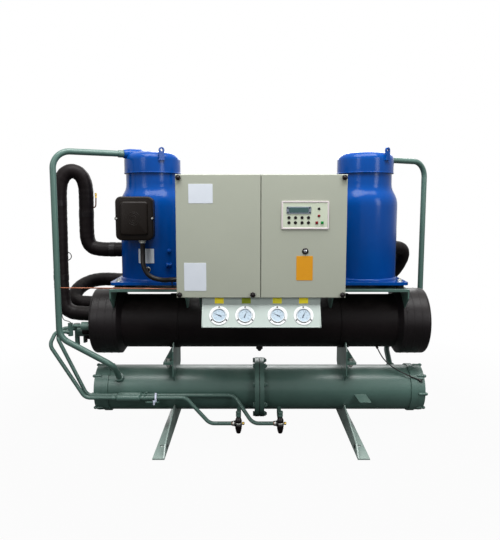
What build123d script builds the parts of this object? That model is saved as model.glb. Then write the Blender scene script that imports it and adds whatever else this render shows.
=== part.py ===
from build123d import *
import os
from math import asin, atan2, cos, hypot, radians, sin, sqrt, tan

# Water-cooled chiller with two compressors, in millimetres.
# X runs along the vessels, the control box faces -Y, and Z is height above the floor.
# Both vessels lie with their axes over the middle of the feet, at Y 0.

weld_gap = 0.3              # between curved faces that are welded or strapped together
bolt_slack = 1              # all round a bolt in its hole

# Condenser: two equal shells bolted together at the middle
condenser_height = 175
condenser_radius = 114.3
condenser_half_length = 767
middle_flange_radius = 152
middle_flange_thickness = 22
gasket_thickness = 3
middle_bolt_circle = 274
middle_bolt_count = 8
middle_bolt_diameter = 16
head_length = 88
head_flange_radius = 121
head_flange_thickness = 30
head_radius = 117
head_dome = 18
head_bolt_count = 8
head_bolt_diameter = 12
head_rib_length = 34
head_bolt_length = 12
lug_plate_width = 58
lug_plate_reach = 62
lug_plate_skew = 20
lug_plate_drop = 26
lug_plate_thickness = 4
lug_plate_x = 505
tab_x = 530
tab_width = 66
tab_height = 158
tab_reach = 186

# Evaporator in its foam jacket
evaporator_height = 530
evaporator_radius = 136
evaporator_half_length = 841
end_cap_radius = 167
end_cap_length = 157
end_cap_chamfer_length = 21
end_cap_rounding = 14
saddle_band_radius = 140
saddle_band_width = 50
drain_x = 1
drain_nut_width = 30
drain_nut_height = 16
drain_tip_radius = 6
drain_length = 27

# Feet and the bolted saddles between the vessels
foot_x = 431
plate_thickness = 6
foot_half_length = 479
foot_flange_width = 54
foot_toe_height = 8
foot_knee_y = 430
foot_knee_height = 52
foot_shoulder_y = 110
foot_shoulder_height = 112
anchor_x = 460
anchor_y = 345
anchor_hole_diameter = 18
web_hole_y = 400
web_hole_height = 28
web_hole_diameter = 14
saddle_split_height = 340
saddle_half_width = 145
saddle_flange_width = 45
lower_saddle_corner = 275
lower_saddle_tip = 238
upper_saddle_corner = 400
upper_saddle_tip = 440
gusset_height = 78
gusset_y = 60
saddle_bolt_y = 110
saddle_bolt_diameter = 16

# Compressor platforms on top of the evaporator
left_compressor_x = 537
right_compressor_x = 529
platform_half_length = 184.5
platform_half_width = 200
platform_top = 720
platform_lip = 12
platform_edge_drop = 46
platform_plate_bottom = 620

# Compressors
mount_pad_height = 18
mount_pad_radius = 20
mount_pad_offset = 150
base_half_width = 185.5
base_thickness = 14
base_corner = 20
body_radius = 162
body_foot_height = 8
body_foot_step = 5
body_top = 1146
neck_radius = 131.5
neck_bottom = 1202
cap_radius = 139
cap_bottom = 1275
cap_corner_radius = 36
cap_corner_height = 1340
cap_top = 1388
lug_width = 27
lug_thickness = 9
lug_root = 1            # of the lug's thickness that is sunk in the cap
lug_bottom = 1334
lug_top = 1396
lug_hole_diameter = 13
left_lug_angle = 109
right_lug_angle = 140
port_diameter = 43
port_reach = 147        # from the cap's axis to the face where the discharge pipe starts

# Terminal boxes on the compressors and their conduits
terminal_box_width = 177
terminal_box_bottom = 956
terminal_box_top = 1161
terminal_box_front = 238
terminal_box_offset = 51.5
terminal_box_depth = 118
terminal_box_corner = 27
terminal_cover_border = 20
terminal_cover_rise = 9
conduit_diameter = 23
gland_diameter = 32
gland_length = 14
gland_x = 20
gland_y = 200
conduit_entry_y = 258
conduit_entry_height = 776
conduit_clearance = 17      # above the rear suction run

# Discharge pipes, each from a compressor's cap to the condenser
discharge_diameter = 29
left_discharge_height = 1369
right_discharge_height = 1352
discharge_foot_height = 494
discharge_bends = [80, 80, 60]
discharge_collar_diameter = 34
discharge_collar_length = 22
nozzle_x = 710
nozzle_angle = 50
nozzle_reach = 266
nozzle_collar_diameter = 46
nozzle_collar_length = 20
left_riser_x = 957
left_riser_y = 232
right_riser_x = 895
right_riser_y = 216

# Suction pipes in foam sleeves
suction_diameter = 75
suction_port_height = 897
suction_loop_height = 1288
left_loop_inner_x = 884
left_loop_outer_x = 1000
suction_inlet_y = 62
suction_inlet_height = 577
rear_inlet_y = 43
rear_inlet_height = 612
rear_port_angle = 35
rear_port_reach = 285
rear_run_y = 245
rear_run_height = 707
rear_run_start_x = 724
rear_run_end_x = 705

# Liquid lines, driers and valves
liquid_diameter = 19
liquid_height = 174
front_line_y = 169
rear_line_y = 134
drier_diameter = 32
drier_length = 108
drier_nut_length = 18
drier_x = 650
line_turn_x = 864           # where the level runs end and climb to the expansion valves
front_drop_x = 366          # and where they drop to the shut-off valves
front_foot_x = 246
rear_drop_x = 129
rear_foot_x = 35
front_climb_x = 1031
rear_climb_x = 1004
front_climb_height = 57
rear_climb_height = 38
inlet_run = 74              # level run into an expansion valve
drier_taper = 8
sight_glass_diameter = 24
sight_glass_length = 26
valve_y = 205
valve_height = 57
front_valve_x = 105
rear_valve_x = 100
valve_body_radius = 15
valve_bottom = 7
valve_arm = 34
valve_cap_reach = 30
valve_back = 22
outlet_y = 75
liquid_outlet_diameter = 22
expansion_radius = 12
expansion_port = 18
front_expansion_x = 938
front_expansion_y = 125
front_inlet_height = 497
front_outlet_rise = 28
front_sleeve_radius = 21
rear_expansion_x = 920
rear_expansion_y = 80
rear_inlet_level = 505
rear_sleeve_radius = 26
rear_sleeve_drop = 15

# Control box
box_half_width = 375
box_bottom = 711
box_top = 1253
box_front = 385
box_back = 215
cover_thickness = 18
cover_gap = 3
cover_seam_x = -2
cover_rounding = 3
knob_diameter = 25
knob_length = 14
knob_inset = 14
lock_diameter = 28
lock_x = 194
lock_height = 919
display_left = 88
display_right = 296
display_bottom = 1016
display_top = 1138
display_thickness = 4
screen_left = 110
screen_right = 217
screen_bottom = 1083
screen_top = 1114
screen_rise = 2
button_diameter = 12
button_columns = [121, 149.5, 178, 206]
button_rows = [1044, 1066]
bracket_x = 272
bracket_spread = 32
bracket_top = 1050
bracket_flange_width = 60
bracket_knee_height = 800
bracket_knee_depth = 45
bracket_neck_depth = 30
bracket_arm_depth = 150     # above the evaporator's axis
bracket_foot_depth = 70

# Gauge panel below the control box
panel_half_width = 265
panel_shift = 1
panel_fold_drop = 33        # below the control box
panel_apron = 95            # below the fold
panel_slope = 50
panel_thickness = 3
outer_gauge_x = 188
inner_gauge_x = 72
gauge_drop = 46             # below the fold
gauge_flange_radius = 44.5
gauge_flange_thickness = 3
gauge_bezel_radius = 32.5
gauge_bezel_height = 9
gauge_body_radius = 29
gauge_body_depth = 30

# Water connections at the rear
evaporator_stub_x = 620
evaporator_stub_diameter = 76
evaporator_stub_reach = 230
condenser_stub_x = 815
condenser_stub_diameter = 60
condenser_stub_reach = 200
groove_back = 16            # from the stub's end to its groove
groove_width = 9
groove_depth = 2
water_bore_wall = 5
water_bore_floor = 6        # of wall left between a bore's end and the vessel

# Copper capillary and the sensor wire
capillary_diameter = 6
capillary_height = 731
sensor_diameter = 6


def along_x(radius, start, end, y=0, z=0):
    """Round bar from X start to X end."""
    bar = Cylinder(radius, abs(end - start), rotation=(0, 90, 0))
    return Pos((start + end) / 2, y, z) * bar


def along_y(radius, start, end, x=0, z=0):
    """Round bar from Y start to Y end."""
    bar = Cylinder(radius, abs(end - start), rotation=(90, 0, 0))
    return Pos(x, (start + end) / 2, z) * bar


def along_z(radius, bottom, top, x=0, y=0):
    """Upright round bar."""
    return Pos(x, y, (bottom + top) / 2) * Cylinder(radius, top - bottom)


def block(x0, x1, y0, y1, z0, z1):
    """Box between two corners."""
    size = Box(abs(x1 - x0), abs(y1 - y0), abs(z1 - z0))
    return Pos((x0 + x1) / 2, (y0 + y1) / 2, (z0 + z1) / 2) * size


def side_plate(outline, x0, x1):
    """Plate of a YZ outline between two X planes."""
    face = Plane.YZ * make_face(Polyline(*outline, close=True))
    return Pos(min(x0, x1), 0, 0) * extrude(face, abs(x1 - x0))


def pipe(points, bends, diameter):
    """Round pipe along straight runs joined by tangent bends."""
    route = FilletPolyline(*points, radius=bends)
    section = Plane(origin=route @ 0, z_dir=route % 0) * Circle(diameter / 2)
    return sweep(section, path=route)


def rod(start, end, diameter):
    """Straight round bar between two points."""
    return extrude(Plane(origin=start, z_dir=end - start) * Circle(diameter / 2), (end - start).length)


def hex_bolt(diameter, grip, tail):
    """Bolt along Z, its head on top of the grip and its nut below it."""
    across = 1.5 * diameter
    head = Pos(0, 0, grip) * extrude(RegularPolygon(across / 2, 6, major_radius=False), 0.65 * diameter)
    nut_height = 0.8 * diameter
    nut = Pos(0, 0, -nut_height) * extrude(RegularPolygon(across / 2, 6, major_radius=False), nut_height)
    return head + nut + along_z(diameter / 2, -nut_height - tail, grip)


def save(shape, name):
    export_step(shape, "parts/" + name + ".step")


def sided(side):
    return "left" if side < 0 else "right"


# Condenser

def middle_bolt_places():
    for index in range(middle_bolt_count):
        angle = radians(90 + index * 360 / middle_bolt_count)
        reach = middle_bolt_circle / 2
        yield reach * cos(angle), condenser_height + reach * sin(angle)


def middle_bolt_holes(x0, x1):
    radius = middle_bolt_diameter / 2 + bolt_slack
    return [along_x(radius, x0, x1, y, z) for y, z in middle_bolt_places()]


def condenser_shell(side):
    inner = side * gasket_thickness / 2
    flange_end = inner + side * middle_flange_thickness
    barrel = along_x(condenser_radius, inner, side * condenser_half_length, 0, condenser_height)
    flange = along_x(middle_flange_radius, inner, flange_end, 0, condenser_height)
    shell = barrel + flange - middle_bolt_holes(inner, flange_end)
    return shell + (pipe_tab() if side < 0 else lug_plate())


def pipe_tab():
    """Level tab that the two liquid lines are tied to."""
    return block(-tab_x - tab_width / 2, -tab_x + tab_width / 2, -tab_reach, -0.8 * condenser_radius,
                 tab_height - lug_plate_thickness, tab_height)


def lug_plate():
    """Skewed plate that leans out of the shell's front at its mid-height."""
    root = Vector(lug_plate_x, -condenser_radius + lug_plate_thickness, condenser_height)
    slope = Vector(0, -sqrt(lug_plate_reach ** 2 - lug_plate_drop ** 2), -lug_plate_drop).normalized()
    face = Plane(origin=root, x_dir=(1, 0, 0), z_dir=Vector(1, 0, 0).cross(slope))
    half = lug_plate_width / 2
    outline = Polyline((-half, 0), (half, 0), (half + lug_plate_skew, lug_plate_reach),
                       (-half + lug_plate_skew, lug_plate_reach), close=True)
    return extrude(face * make_face(outline), lug_plate_thickness)


def condenser_gasket():
    half = gasket_thickness / 2
    disc = along_x(middle_flange_radius - 2, -half, half, 0, condenser_height)
    return disc - middle_bolt_holes(-half, half)


def middle_bolts():
    grip = gasket_thickness + 2 * middle_flange_thickness
    bolt = hex_bolt(middle_bolt_diameter, grip, 0.4 * middle_bolt_diameter)
    upright = Pos(-grip / 2, 0, 0) * Rot(0, 90, 0)
    return [Pos(0, y, z) * upright * bolt for y, z in middle_bolt_places()]


def head_profile():
    end = condenser_half_length + head_length
    ring = condenser_half_length + head_flange_thickness
    cheek = end - head_dome
    line = Polyline((condenser_half_length, 0), (condenser_half_length, head_flange_radius),
                    (ring, head_flange_radius), (ring, head_radius), (cheek, head_radius))
    crown = (head_radius ** 2 + head_dome ** 2) / (2 * head_dome)
    half_angle = asin(head_radius / crown) / 2
    middle = (end - crown + crown * cos(half_angle), crown * sin(half_angle))
    dome = ThreePointArc((cheek, head_radius), middle, (end, 0))
    return make_face(line + dome + Line((end, 0), (condenser_half_length, 0)))


def compressor_at(side):
    return -left_compressor_x if side < 0 else right_compressor_x


def head_bolt_places():
    for index in range(head_bolt_count):
        angle = radians(index * 360 / head_bolt_count)
        yield head_radius * cos(angle), condenser_height + head_radius * sin(angle)


def condenser_head(side):
    head = Pos(0, 0, condenser_height) * revolve(Plane.XZ * head_profile(), Axis.X)
    rib_end = condenser_half_length + head_length - head_dome
    for y, z in head_bolt_places():
        head += along_x(head_bolt_diameter / 2, rib_end - head_rib_length, rib_end, y, z)
    return head if side > 0 else mirror(head, Plane.YZ)


def head_bolts():
    """Cap nuts on the ends of the ribs, clear of the dome between them."""
    start = condenser_half_length + head_length - head_dome
    crown = (head_radius ** 2 + head_dome ** 2) / (2 * head_dome)
    centre = condenser_half_length + head_length - crown
    bolts = []
    for side in (-1, 1):
        dome = Pos(side * centre, 0, condenser_height) * Sphere(crown + weld_gap)
        for y, z in head_bolt_places():
            bolt = along_x(head_bolt_diameter / 2 - 1, side * start, side * (start + head_bolt_length), y, z)
            bolts.append(bolt - dome)
    return bolts


# Evaporator

def evaporator_shell():
    reach = evaporator_half_length - end_cap_length
    shell = along_x(evaporator_radius, -reach, reach, 0, evaporator_height)
    for side in (-1, 1):
        edges = [side * foot_x - saddle_band_width / 2, side * foot_x + saddle_band_width / 2]
        shell += along_x(saddle_band_radius, edges[0], edges[1], 0, evaporator_height)
    return shell


def evaporator_end(side):
    start = evaporator_half_length - end_cap_length
    full = start + end_cap_chamfer_length
    end = evaporator_half_length
    inner = end_cap_radius - end_cap_rounding
    line = Polyline((start, 0), (start, evaporator_radius), (full, end_cap_radius),
                    (end - end_cap_rounding, end_cap_radius))
    turn = RadiusArc((end - end_cap_rounding, end_cap_radius), (end, inner), end_cap_rounding)
    face = make_face(line + turn + Polyline((end, inner), (end, 0), (start, 0)))
    cap = Pos(0, 0, evaporator_height) * revolve(Plane.XZ * face, Axis.X)
    return cap if side > 0 else mirror(cap, Plane.YZ)


def evaporator_drain():
    """Hexagon plug with a tapered tip, under the shell."""
    top = evaporator_height - evaporator_radius
    bottom = top - drain_length
    shoulder = top - drain_nut_height
    nut = extrude(RegularPolygon(drain_nut_width / 2, 6, major_radius=False), 2 * drain_nut_height)
    tip = Cone(drain_tip_radius, drain_nut_width / 2 - 2, shoulder - bottom,
               align=(Align.CENTER, Align.CENTER, Align.MIN))
    shell = along_x(evaporator_radius + weld_gap, -drain_nut_width, drain_nut_width, 0, evaporator_height)
    return Pos(drain_x, 0, 0) * (Pos(0, 0, shoulder) * nut + Pos(0, 0, bottom) * tip - shell)


# Feet and saddles

def foot(side):
    inner = side * (foot_x - plate_thickness / 2)
    outer = side * (foot_x + plate_thickness / 2)
    edge = outer + side * (foot_flange_width - plate_thickness)
    half = [(-foot_half_length, 0), (-foot_half_length, foot_toe_height), (-foot_knee_y, foot_knee_height),
            (-foot_shoulder_y, foot_shoulder_height), (0, foot_shoulder_height)]
    outline = half + [(-y, z) for y, z in reversed(half[:-1])]
    web = side_plate(outline, inner, outer)
    web -= along_x(condenser_radius + weld_gap, inner, outer, 0, condenser_height)
    flange = block(inner, edge, -foot_half_length, foot_half_length, 0, plate_thickness)
    result = web + flange
    for front in (-1, 1):
        hole = anchor_hole_diameter / 2
        result -= along_z(hole, 0, plate_thickness, side * anchor_x, front * anchor_y)
        result -= along_x(web_hole_diameter / 2, inner, outer, front * web_hole_y, web_hole_height)
    return result


def saddle_bolt_x(side):
    return side * (foot_x + plate_thickness / 2 + saddle_flange_width / 2)


def saddle_flange(side, z0, z1):
    inner = side * (foot_x - plate_thickness / 2)
    edge = side * (foot_x + plate_thickness / 2 + saddle_flange_width)
    flange = block(inner, edge, -saddle_half_width, saddle_half_width, z0, z1)
    for front in (-1, 1):
        radius = saddle_bolt_diameter / 2 + bolt_slack
        flange -= along_z(radius, z0, z1, saddle_bolt_x(side), front * saddle_bolt_y)
    return flange


def condenser_saddle(side):
    inner = side * (foot_x - plate_thickness / 2)
    outer = side * (foot_x + plate_thickness / 2)
    tip_y = sqrt(condenser_radius ** 2 - (lower_saddle_tip - condenser_height) ** 2)
    half = [(-saddle_half_width, saddle_split_height), (-saddle_half_width, lower_saddle_corner),
            (-tip_y, lower_saddle_tip)]
    outline = half + [(-y, z) for y, z in reversed(half)]
    web = side_plate(outline, inner, outer)
    web -= along_x(condenser_radius + weld_gap, inner, outer, 0, condenser_height)
    return web + saddle_flange(side, saddle_split_height - plate_thickness, saddle_split_height)


def evaporator_saddle(side):
    inner = side * (foot_x - plate_thickness / 2)
    outer = side * (foot_x + plate_thickness / 2)
    edge = outer + side * saddle_flange_width
    tip_y = sqrt(saddle_band_radius ** 2 - (evaporator_height - upper_saddle_tip) ** 2)
    half = [(-saddle_half_width, saddle_split_height), (-saddle_half_width, upper_saddle_corner),
            (-tip_y, upper_saddle_tip)]
    outline = half + [(-y, z) for y, z in reversed(half)]
    web = side_plate(outline, inner, outer)
    web -= along_x(saddle_band_radius + weld_gap, inner, outer, 0, evaporator_height)
    saddle = web + saddle_flange(side, saddle_split_height, saddle_split_height + plate_thickness)
    gusset = make_face(Polyline((outer, saddle_split_height), (edge, saddle_split_height + plate_thickness),
                                (outer, saddle_split_height + gusset_height), close=True))
    for front in (-1, 1):
        y = front * gusset_y + plate_thickness / 2
        saddle += Pos(0, y, 0) * extrude(Plane.XZ * gusset, plate_thickness)
    return saddle - along_x(saddle_band_radius + weld_gap, outer, edge, 0, evaporator_height)


def saddle_bolts():
    bolt = hex_bolt(saddle_bolt_diameter, 2 * plate_thickness, 0.5 * saddle_bolt_diameter)
    height = saddle_split_height - plate_thickness
    return [Pos(saddle_bolt_x(side), front * saddle_bolt_y, height) * bolt
            for side in (-1, 1) for front in (-1, 1)]


# Compressor platforms

def platform(side):
    inner = compressor_at(side) - side * platform_half_length
    outer = compressor_at(side) + side * platform_half_length
    top_plate = block(inner, outer, -platform_half_width, platform_half_width,
                      platform_top - plate_thickness, platform_top)
    result = top_plate
    for front in (-1, 1):
        edge = front * platform_half_width
        result += block(inner, outer, edge, edge - front * plate_thickness,
                        platform_top - platform_lip, platform_top)
    foot_y = sqrt(end_cap_radius ** 2 - (platform_plate_bottom - evaporator_height) ** 2)
    half = [(-platform_half_width, platform_top - plate_thickness),
            (-platform_half_width, platform_top - platform_edge_drop), (-foot_y, platform_plate_bottom)]
    outline = half + [(-y, z) for y, z in reversed(half)]
    for start, radius in ((inner, evaporator_radius), (outer - side * plate_thickness, end_cap_radius)):
        cheek = side_plate(outline, start, start + side * plate_thickness)
        cheek -= along_x(radius + weld_gap, start, start + side * plate_thickness, 0, evaporator_height)
        result += cheek
    return result


def rubber_mounts():
    pads = []
    for side in (-1, 1):
        for x in (-mount_pad_offset, mount_pad_offset):
            for y in (-mount_pad_offset, mount_pad_offset):
                pads.append(along_z(mount_pad_radius, platform_top, platform_top + mount_pad_height,
                                    compressor_at(side) + x, y))
    return pads


# Compressors

def compressor_base(side):
    bottom = platform_top + mount_pad_height
    plate = extrude(RectangleRounded(2 * base_half_width, 2 * base_half_width, base_corner), base_thickness)
    return Pos(compressor_at(side), 0, bottom) * plate


def shoulder_arc():
    """Arc that leaves the body's wall without a crease and closes in on the neck."""
    step = body_radius - neck_radius
    rise = neck_bottom - body_top
    radius = (step ** 2 + rise ** 2) / (2 * step)
    return RadiusArc((body_radius, body_top), (neck_radius, neck_bottom), -radius)


def compressor_body(side):
    bottom = platform_top + mount_pad_height + base_thickness
    foot_radius = body_radius + body_foot_step
    line = Polyline((0, bottom), (foot_radius, bottom), (foot_radius, bottom + body_foot_height),
                    (body_radius, bottom + body_foot_height + body_foot_step), (body_radius, body_top))
    close = Polyline((neck_radius, neck_bottom), (neck_radius, cap_bottom), (0, cap_bottom), (0, bottom))
    face = make_face(line + shoulder_arc() + close)
    return Pos(compressor_at(side), 0, 0) * revolve(Plane.XZ * face, Axis.Z)


def crown_radius():
    """Radius of the crown that meets the cap's rounded corner without a crease."""
    reach = cap_radius - cap_corner_radius
    rise = cap_top - cap_corner_height
    return (reach ** 2 + rise ** 2 - cap_corner_radius ** 2) / (2 * (rise - cap_corner_radius))


def lifting_lug():
    """Upright plate with a round eye, flat against the cap's wall on the X side."""
    eye_height = lug_top - lug_width / 2
    inner = cap_radius - lug_root
    outer = inner + lug_thickness
    plate = block(inner, outer, -lug_width / 2, lug_width / 2, lug_bottom, eye_height)
    plate += along_x(lug_width / 2, inner, outer, 0, eye_height)
    return plate - along_x(lug_hole_diameter / 2, inner, outer, 0, eye_height)


def cap_form(grow=0):
    """Domed cap about the Z axis, grown outward all over by a clearance."""
    crown = crown_radius()
    centre = cap_top - crown
    slope = atan2(cap_corner_height - centre, cap_radius - cap_corner_radius)
    crown += grow
    side_r = cap_radius + grow
    joint = (crown * cos(slope), centre + crown * sin(slope))
    corner = RadiusArc((side_r, cap_corner_height), joint, -(cap_corner_radius + grow))
    dome = RadiusArc(joint, (0, cap_top + grow), -crown)
    line = Polyline((0, cap_bottom), (side_r, cap_bottom), (side_r, cap_corner_height))
    face = make_face(line + corner + dome + Line((0, cap_top + grow), (0, cap_bottom)))
    return revolve(Plane.XZ * face, Axis.Z)


def port_direction(side):
    """Level direction from a compressor's axis to its riser."""
    riser = Vector(-left_riser_x, -left_riser_y) if side < 0 else Vector(right_riser_x, right_riser_y)
    return (riser - Vector(compressor_at(side), 0)).normalized()


def port_height(side):
    return left_discharge_height if side < 0 else right_discharge_height


def compressor_cap(side):
    cap = cap_form()
    angle = left_lug_angle if side < 0 else right_lug_angle
    for turn in (0, 180):
        cap += Rot(0, 0, angle + turn) * lifting_lug()
    height = Vector(0, 0, port_height(side))
    outward = port_direction(side)
    cap += rod(height + outward * (cap_radius - port_diameter), height + outward * port_reach, port_diameter)
    return Pos(compressor_at(side), 0, 0) * cap


# Terminal boxes

def turned(side, shape):
    """Place something drawn for the left compressor, or half a turn round for the right one."""
    turn = 0 if side < 0 else 180
    return Pos(compressor_at(side), 0, 0) * Rot(0, 0, turn) * shape


def terminal_box(side):
    height = terminal_box_top - terminal_box_bottom
    middle = (terminal_box_top + terminal_box_bottom) / 2
    lid_y = -terminal_box_front + terminal_cover_rise
    face = Plane(origin=(-terminal_box_offset, lid_y, middle), x_dir=(1, 0, 0), z_dir=(0, -1, 0))
    outline = RectangleRounded(terminal_box_width, height, terminal_box_corner)
    border = 2 * terminal_cover_border
    raised = RectangleRounded(terminal_box_width - border, height - border, terminal_box_corner / 2)
    box = extrude(face * outline, -terminal_box_depth) + extrude(face * raised, terminal_cover_rise)
    box += along_z(gland_diameter / 2, terminal_box_bottom - gland_length, terminal_box_bottom,
                   -gland_x, -gland_y)
    box -= along_z(body_radius + weld_gap, terminal_box_bottom - gland_length, terminal_box_top)
    return turned(side, box)


def left_conduit():
    top = (-gland_x, -gland_y, terminal_box_bottom - gland_length)
    entry_x = left_compressor_x - box_half_width
    route = [top, (-gland_x, -gland_y, 890), (-18, -215, 835), (10, -224, 785), (76, -232, 768),
             (entry_x - 40, -conduit_entry_y, conduit_entry_height),
             (entry_x, -conduit_entry_y, conduit_entry_height)]
    return turned(-1, pipe(route, [100, 90, 55, 90, 60], conduit_diameter))


def right_conduit():
    gland = right_compressor_x + gland_x
    low = rear_run_height + (suction_diameter + conduit_diameter) / 2 + conduit_clearance
    route = [(gland, gland_y, terminal_box_bottom - gland_length), (gland, gland_y, low + 112),
             (gland - 7, 222, low + 55), (gland - 46, 230, low + 9), (410, 215, low), (345, 130, low),
             (330, -100, conduit_entry_height), (330, -box_back, conduit_entry_height)]
    return pipe(route, [100, 90, 45, 60, 60, 100], conduit_diameter)


# Pipes of the refrigerant circuits

def condenser_bore(x0, x1):
    return along_x(condenser_radius + weld_gap, x0, x1, 0, condenser_height)


def discharge_pipe(side):
    riser = Vector(-left_riser_x, -left_riser_y) if side < 0 else Vector(right_riser_x, right_riser_y)
    axis = Vector(compressor_at(side), 0)
    start = axis + port_direction(side) * port_reach
    collar_end = start + port_direction(side) * discharge_collar_length
    lift = Vector(0, 0, port_height(side))
    lean = Vector(0, side * sin(radians(nozzle_angle)), cos(radians(nozzle_angle)))
    nozzle = Vector(side * nozzle_x, 0, condenser_height)
    root = nozzle + lean * (condenser_radius - discharge_diameter / 2)
    rim = nozzle + lean * (condenser_radius + nozzle_collar_length)
    route = [start + lift, riser + lift, riser + Vector(0, 0, discharge_foot_height),
             nozzle + lean * nozzle_reach, root]
    result = pipe(route, discharge_bends, discharge_diameter)
    result += rod(start + lift, collar_end + lift, discharge_collar_diameter)
    result += rod(root, rim, nozzle_collar_diameter)
    return result - condenser_bore(side * (nozzle_x - nozzle_reach), side * (nozzle_x + nozzle_reach))


def body_bore(side):
    return along_z(body_radius + weld_gap, platform_top, body_top, compressor_at(side))


def suction_pipe_left():
    port_x = -(left_compressor_x + body_radius - suction_diameter / 2)
    end_x = -evaporator_half_length
    route = [(port_x, 0, suction_port_height), (-left_loop_inner_x, 0, suction_port_height),
             (-left_loop_inner_x, -8, suction_loop_height), (-left_loop_outer_x, -42, suction_loop_height),
             (-left_loop_outer_x + 22, -suction_inlet_y, suction_inlet_height),
             (end_x, -suction_inlet_y, suction_inlet_height)]
    return pipe(route, [95, 60, 60, 80], suction_diameter) - body_bore(-1)


def suction_pipe_right():
    port = Vector(cos(radians(rear_port_angle)), sin(radians(rear_port_angle)))
    axis = Vector(right_compressor_x, 0, suction_port_height)
    end_x = -evaporator_half_length
    route = [axis + port * (body_radius - suction_diameter / 2), axis + port * rear_port_reach,
             (rear_run_start_x, rear_run_y, rear_run_height), (-rear_run_end_x, rear_run_y, rear_run_height),
             (-850, 235, 738), (-958, 110, 695), (-962, rear_inlet_y, rear_inlet_height),
             (end_x, rear_inlet_y, rear_inlet_height)]
    return pipe(route, [62, 70, 120, 75, 45, 45], suction_diameter) - body_bore(1)


def liquid_line(line_y, drop, foot, climb, bends, valve_x, inlet):
    """One line: the run from its valve to the drier, and on from the sight glass to its inlet."""
    drier_right = -drier_x + drier_length / 2 + 2 * drier_taper + sight_glass_length
    drier_left = -drier_x - drier_length / 2 - drier_taper - drier_nut_length
    level = (-line_y, liquid_height)
    low = (-valve_y, valve_height)
    front = [(drier_right, *level), (-drop, *level), (-foot, *low), (valve_x - valve_arm, *low)]
    turn = (inlet.X - inlet_run + expansion_port, inlet.Y, inlet.Z)
    rear = [(drier_left, *level), (-line_turn_x, *level), climb, turn, tuple(inlet)]
    return [pipe(front, [55, 55], liquid_diameter), pipe(rear, bends, liquid_diameter)]


def front_line():
    inlet = Vector(-front_expansion_x - expansion_port, -front_expansion_y, front_inlet_height)
    climb = (-front_climb_x, -front_line_y + 5, front_inlet_height - front_climb_height)
    return liquid_line(front_line_y, front_drop_x, front_foot_x, climb, [45, 45, 28], -front_valve_x, inlet)


def rear_line():
    inlet = Vector(-rear_expansion_x - expansion_port, -rear_expansion_y, rear_inlet_level)
    climb = (-rear_climb_x, -rear_line_y + 6, rear_inlet_level - rear_climb_height)
    return liquid_line(rear_line_y, rear_drop_x, rear_foot_x, climb, [45, 34, 26], rear_valve_x, inlet)


def filter_driers():
    pipe_r = liquid_diameter / 2
    shell_r = drier_diameter / 2
    glass_r = sight_glass_diameter / 2
    x1 = -drier_x - drier_length / 2 - drier_taper
    x0 = x1 - drier_nut_length
    x2 = x1 + drier_taper
    x3 = x2 + drier_length
    x4 = x3 + drier_taper
    x5 = x4 + drier_taper
    x6 = x5 + sight_glass_length
    outline = Polyline((x0, 0), (x0, glass_r), (x1, glass_r), (x1, pipe_r), (x2, shell_r), (x3, shell_r),
                       (x4, pipe_r), (x5, pipe_r), (x5, glass_r), (x6, glass_r), (x6, 0), close=True)
    drier = revolve(Plane.XZ * make_face(outline), Axis.X)
    glass = along_z(0.7 * glass_r, 0, glass_r + 5, (x5 + x6) / 2)
    return [Pos(0, -y, liquid_height) * (drier + glass) for y in (front_line_y, rear_line_y)]


def shutoff_valve(x):
    r = valve_body_radius
    outline = Polyline((0, valve_bottom), (0.6 * r, valve_bottom), (0.75 * r, valve_bottom + 6),
                       (0.75 * r, valve_height - 24), (r, valve_height - 22), (r, valve_height - 10),
                       (0.8 * r, valve_height - 9), (0.8 * r, valve_height + 12), (r, valve_height + 13),
                       (r, valve_height + 36), (0, valve_height + 36), close=True)
    valve = revolve(Plane.XZ * make_face(outline), Axis.Z)
    nut = Pos(0, 0, valve_height) * Rot(0, -90, 0) * extrude(RegularPolygon(0.9 * r, 6), valve_arm)
    valve += nut + along_x(0.45 * r, 0, valve_cap_reach, 0, valve_height)
    valve += along_y(liquid_outlet_diameter / 2 + 2, 0, valve_back, 0, valve_height)
    return Pos(x, -valve_y, 0) * valve


def liquid_outlet(x):
    """Stub out of the condenser's underside, bent forward to its valve."""
    surface = condenser_height - sqrt(condenser_radius ** 2 - outlet_y ** 2)
    route = [(x, -outlet_y, surface + liquid_outlet_diameter / 2), (x, -outlet_y, valve_height),
             (x, valve_back - valve_y, valve_height)]
    return pipe(route, [liquid_outlet_diameter], liquid_outlet_diameter)


def expansion_valve_front():
    x = -front_expansion_x
    y = -front_expansion_y
    r = expansion_radius
    front_outlet_height = front_inlet_height + front_outlet_rise
    body = along_z(r, front_inlet_height - 20, front_outlet_height + 16, x, y)
    head = along_y(1.5 * r, y - 2.1 * r, y - r, x, front_outlet_height)
    neck = along_y(0.8 * r, y - r, y, x, front_outlet_height)
    inlet = along_x(liquid_diameter / 2 + 3, x, x - expansion_port, y, front_inlet_height)
    outlet = along_x(0.7 * r, x, -evaporator_half_length, y + 5, front_outlet_height)
    sleeve = along_x(front_sleeve_radius, -evaporator_half_length - 42, -evaporator_half_length,
                     y + 5, front_outlet_height)
    return body + head + neck + inlet + outlet + sleeve


def expansion_valve_rear():
    x = -rear_expansion_x
    y = -rear_expansion_y
    r = expansion_radius
    rear_sleeve_height = rear_inlet_level - rear_sleeve_drop
    leg = along_z(r, rear_inlet_level - 85, rear_inlet_level + 10, x, y)
    cap = along_z(1.4 * r, rear_inlet_level + 10, rear_inlet_level + 24, x, y)
    inlet = along_x(r, x, x - expansion_port, y, rear_inlet_level)
    sleeve = along_x(rear_sleeve_radius, x + r / 2, -evaporator_half_length, y, rear_sleeve_height)
    drip = along_z(6, rear_sleeve_height - rear_sleeve_radius - 33, rear_sleeve_height, x + 36, y)
    return leg + cap + inlet + sleeve + drip


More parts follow.
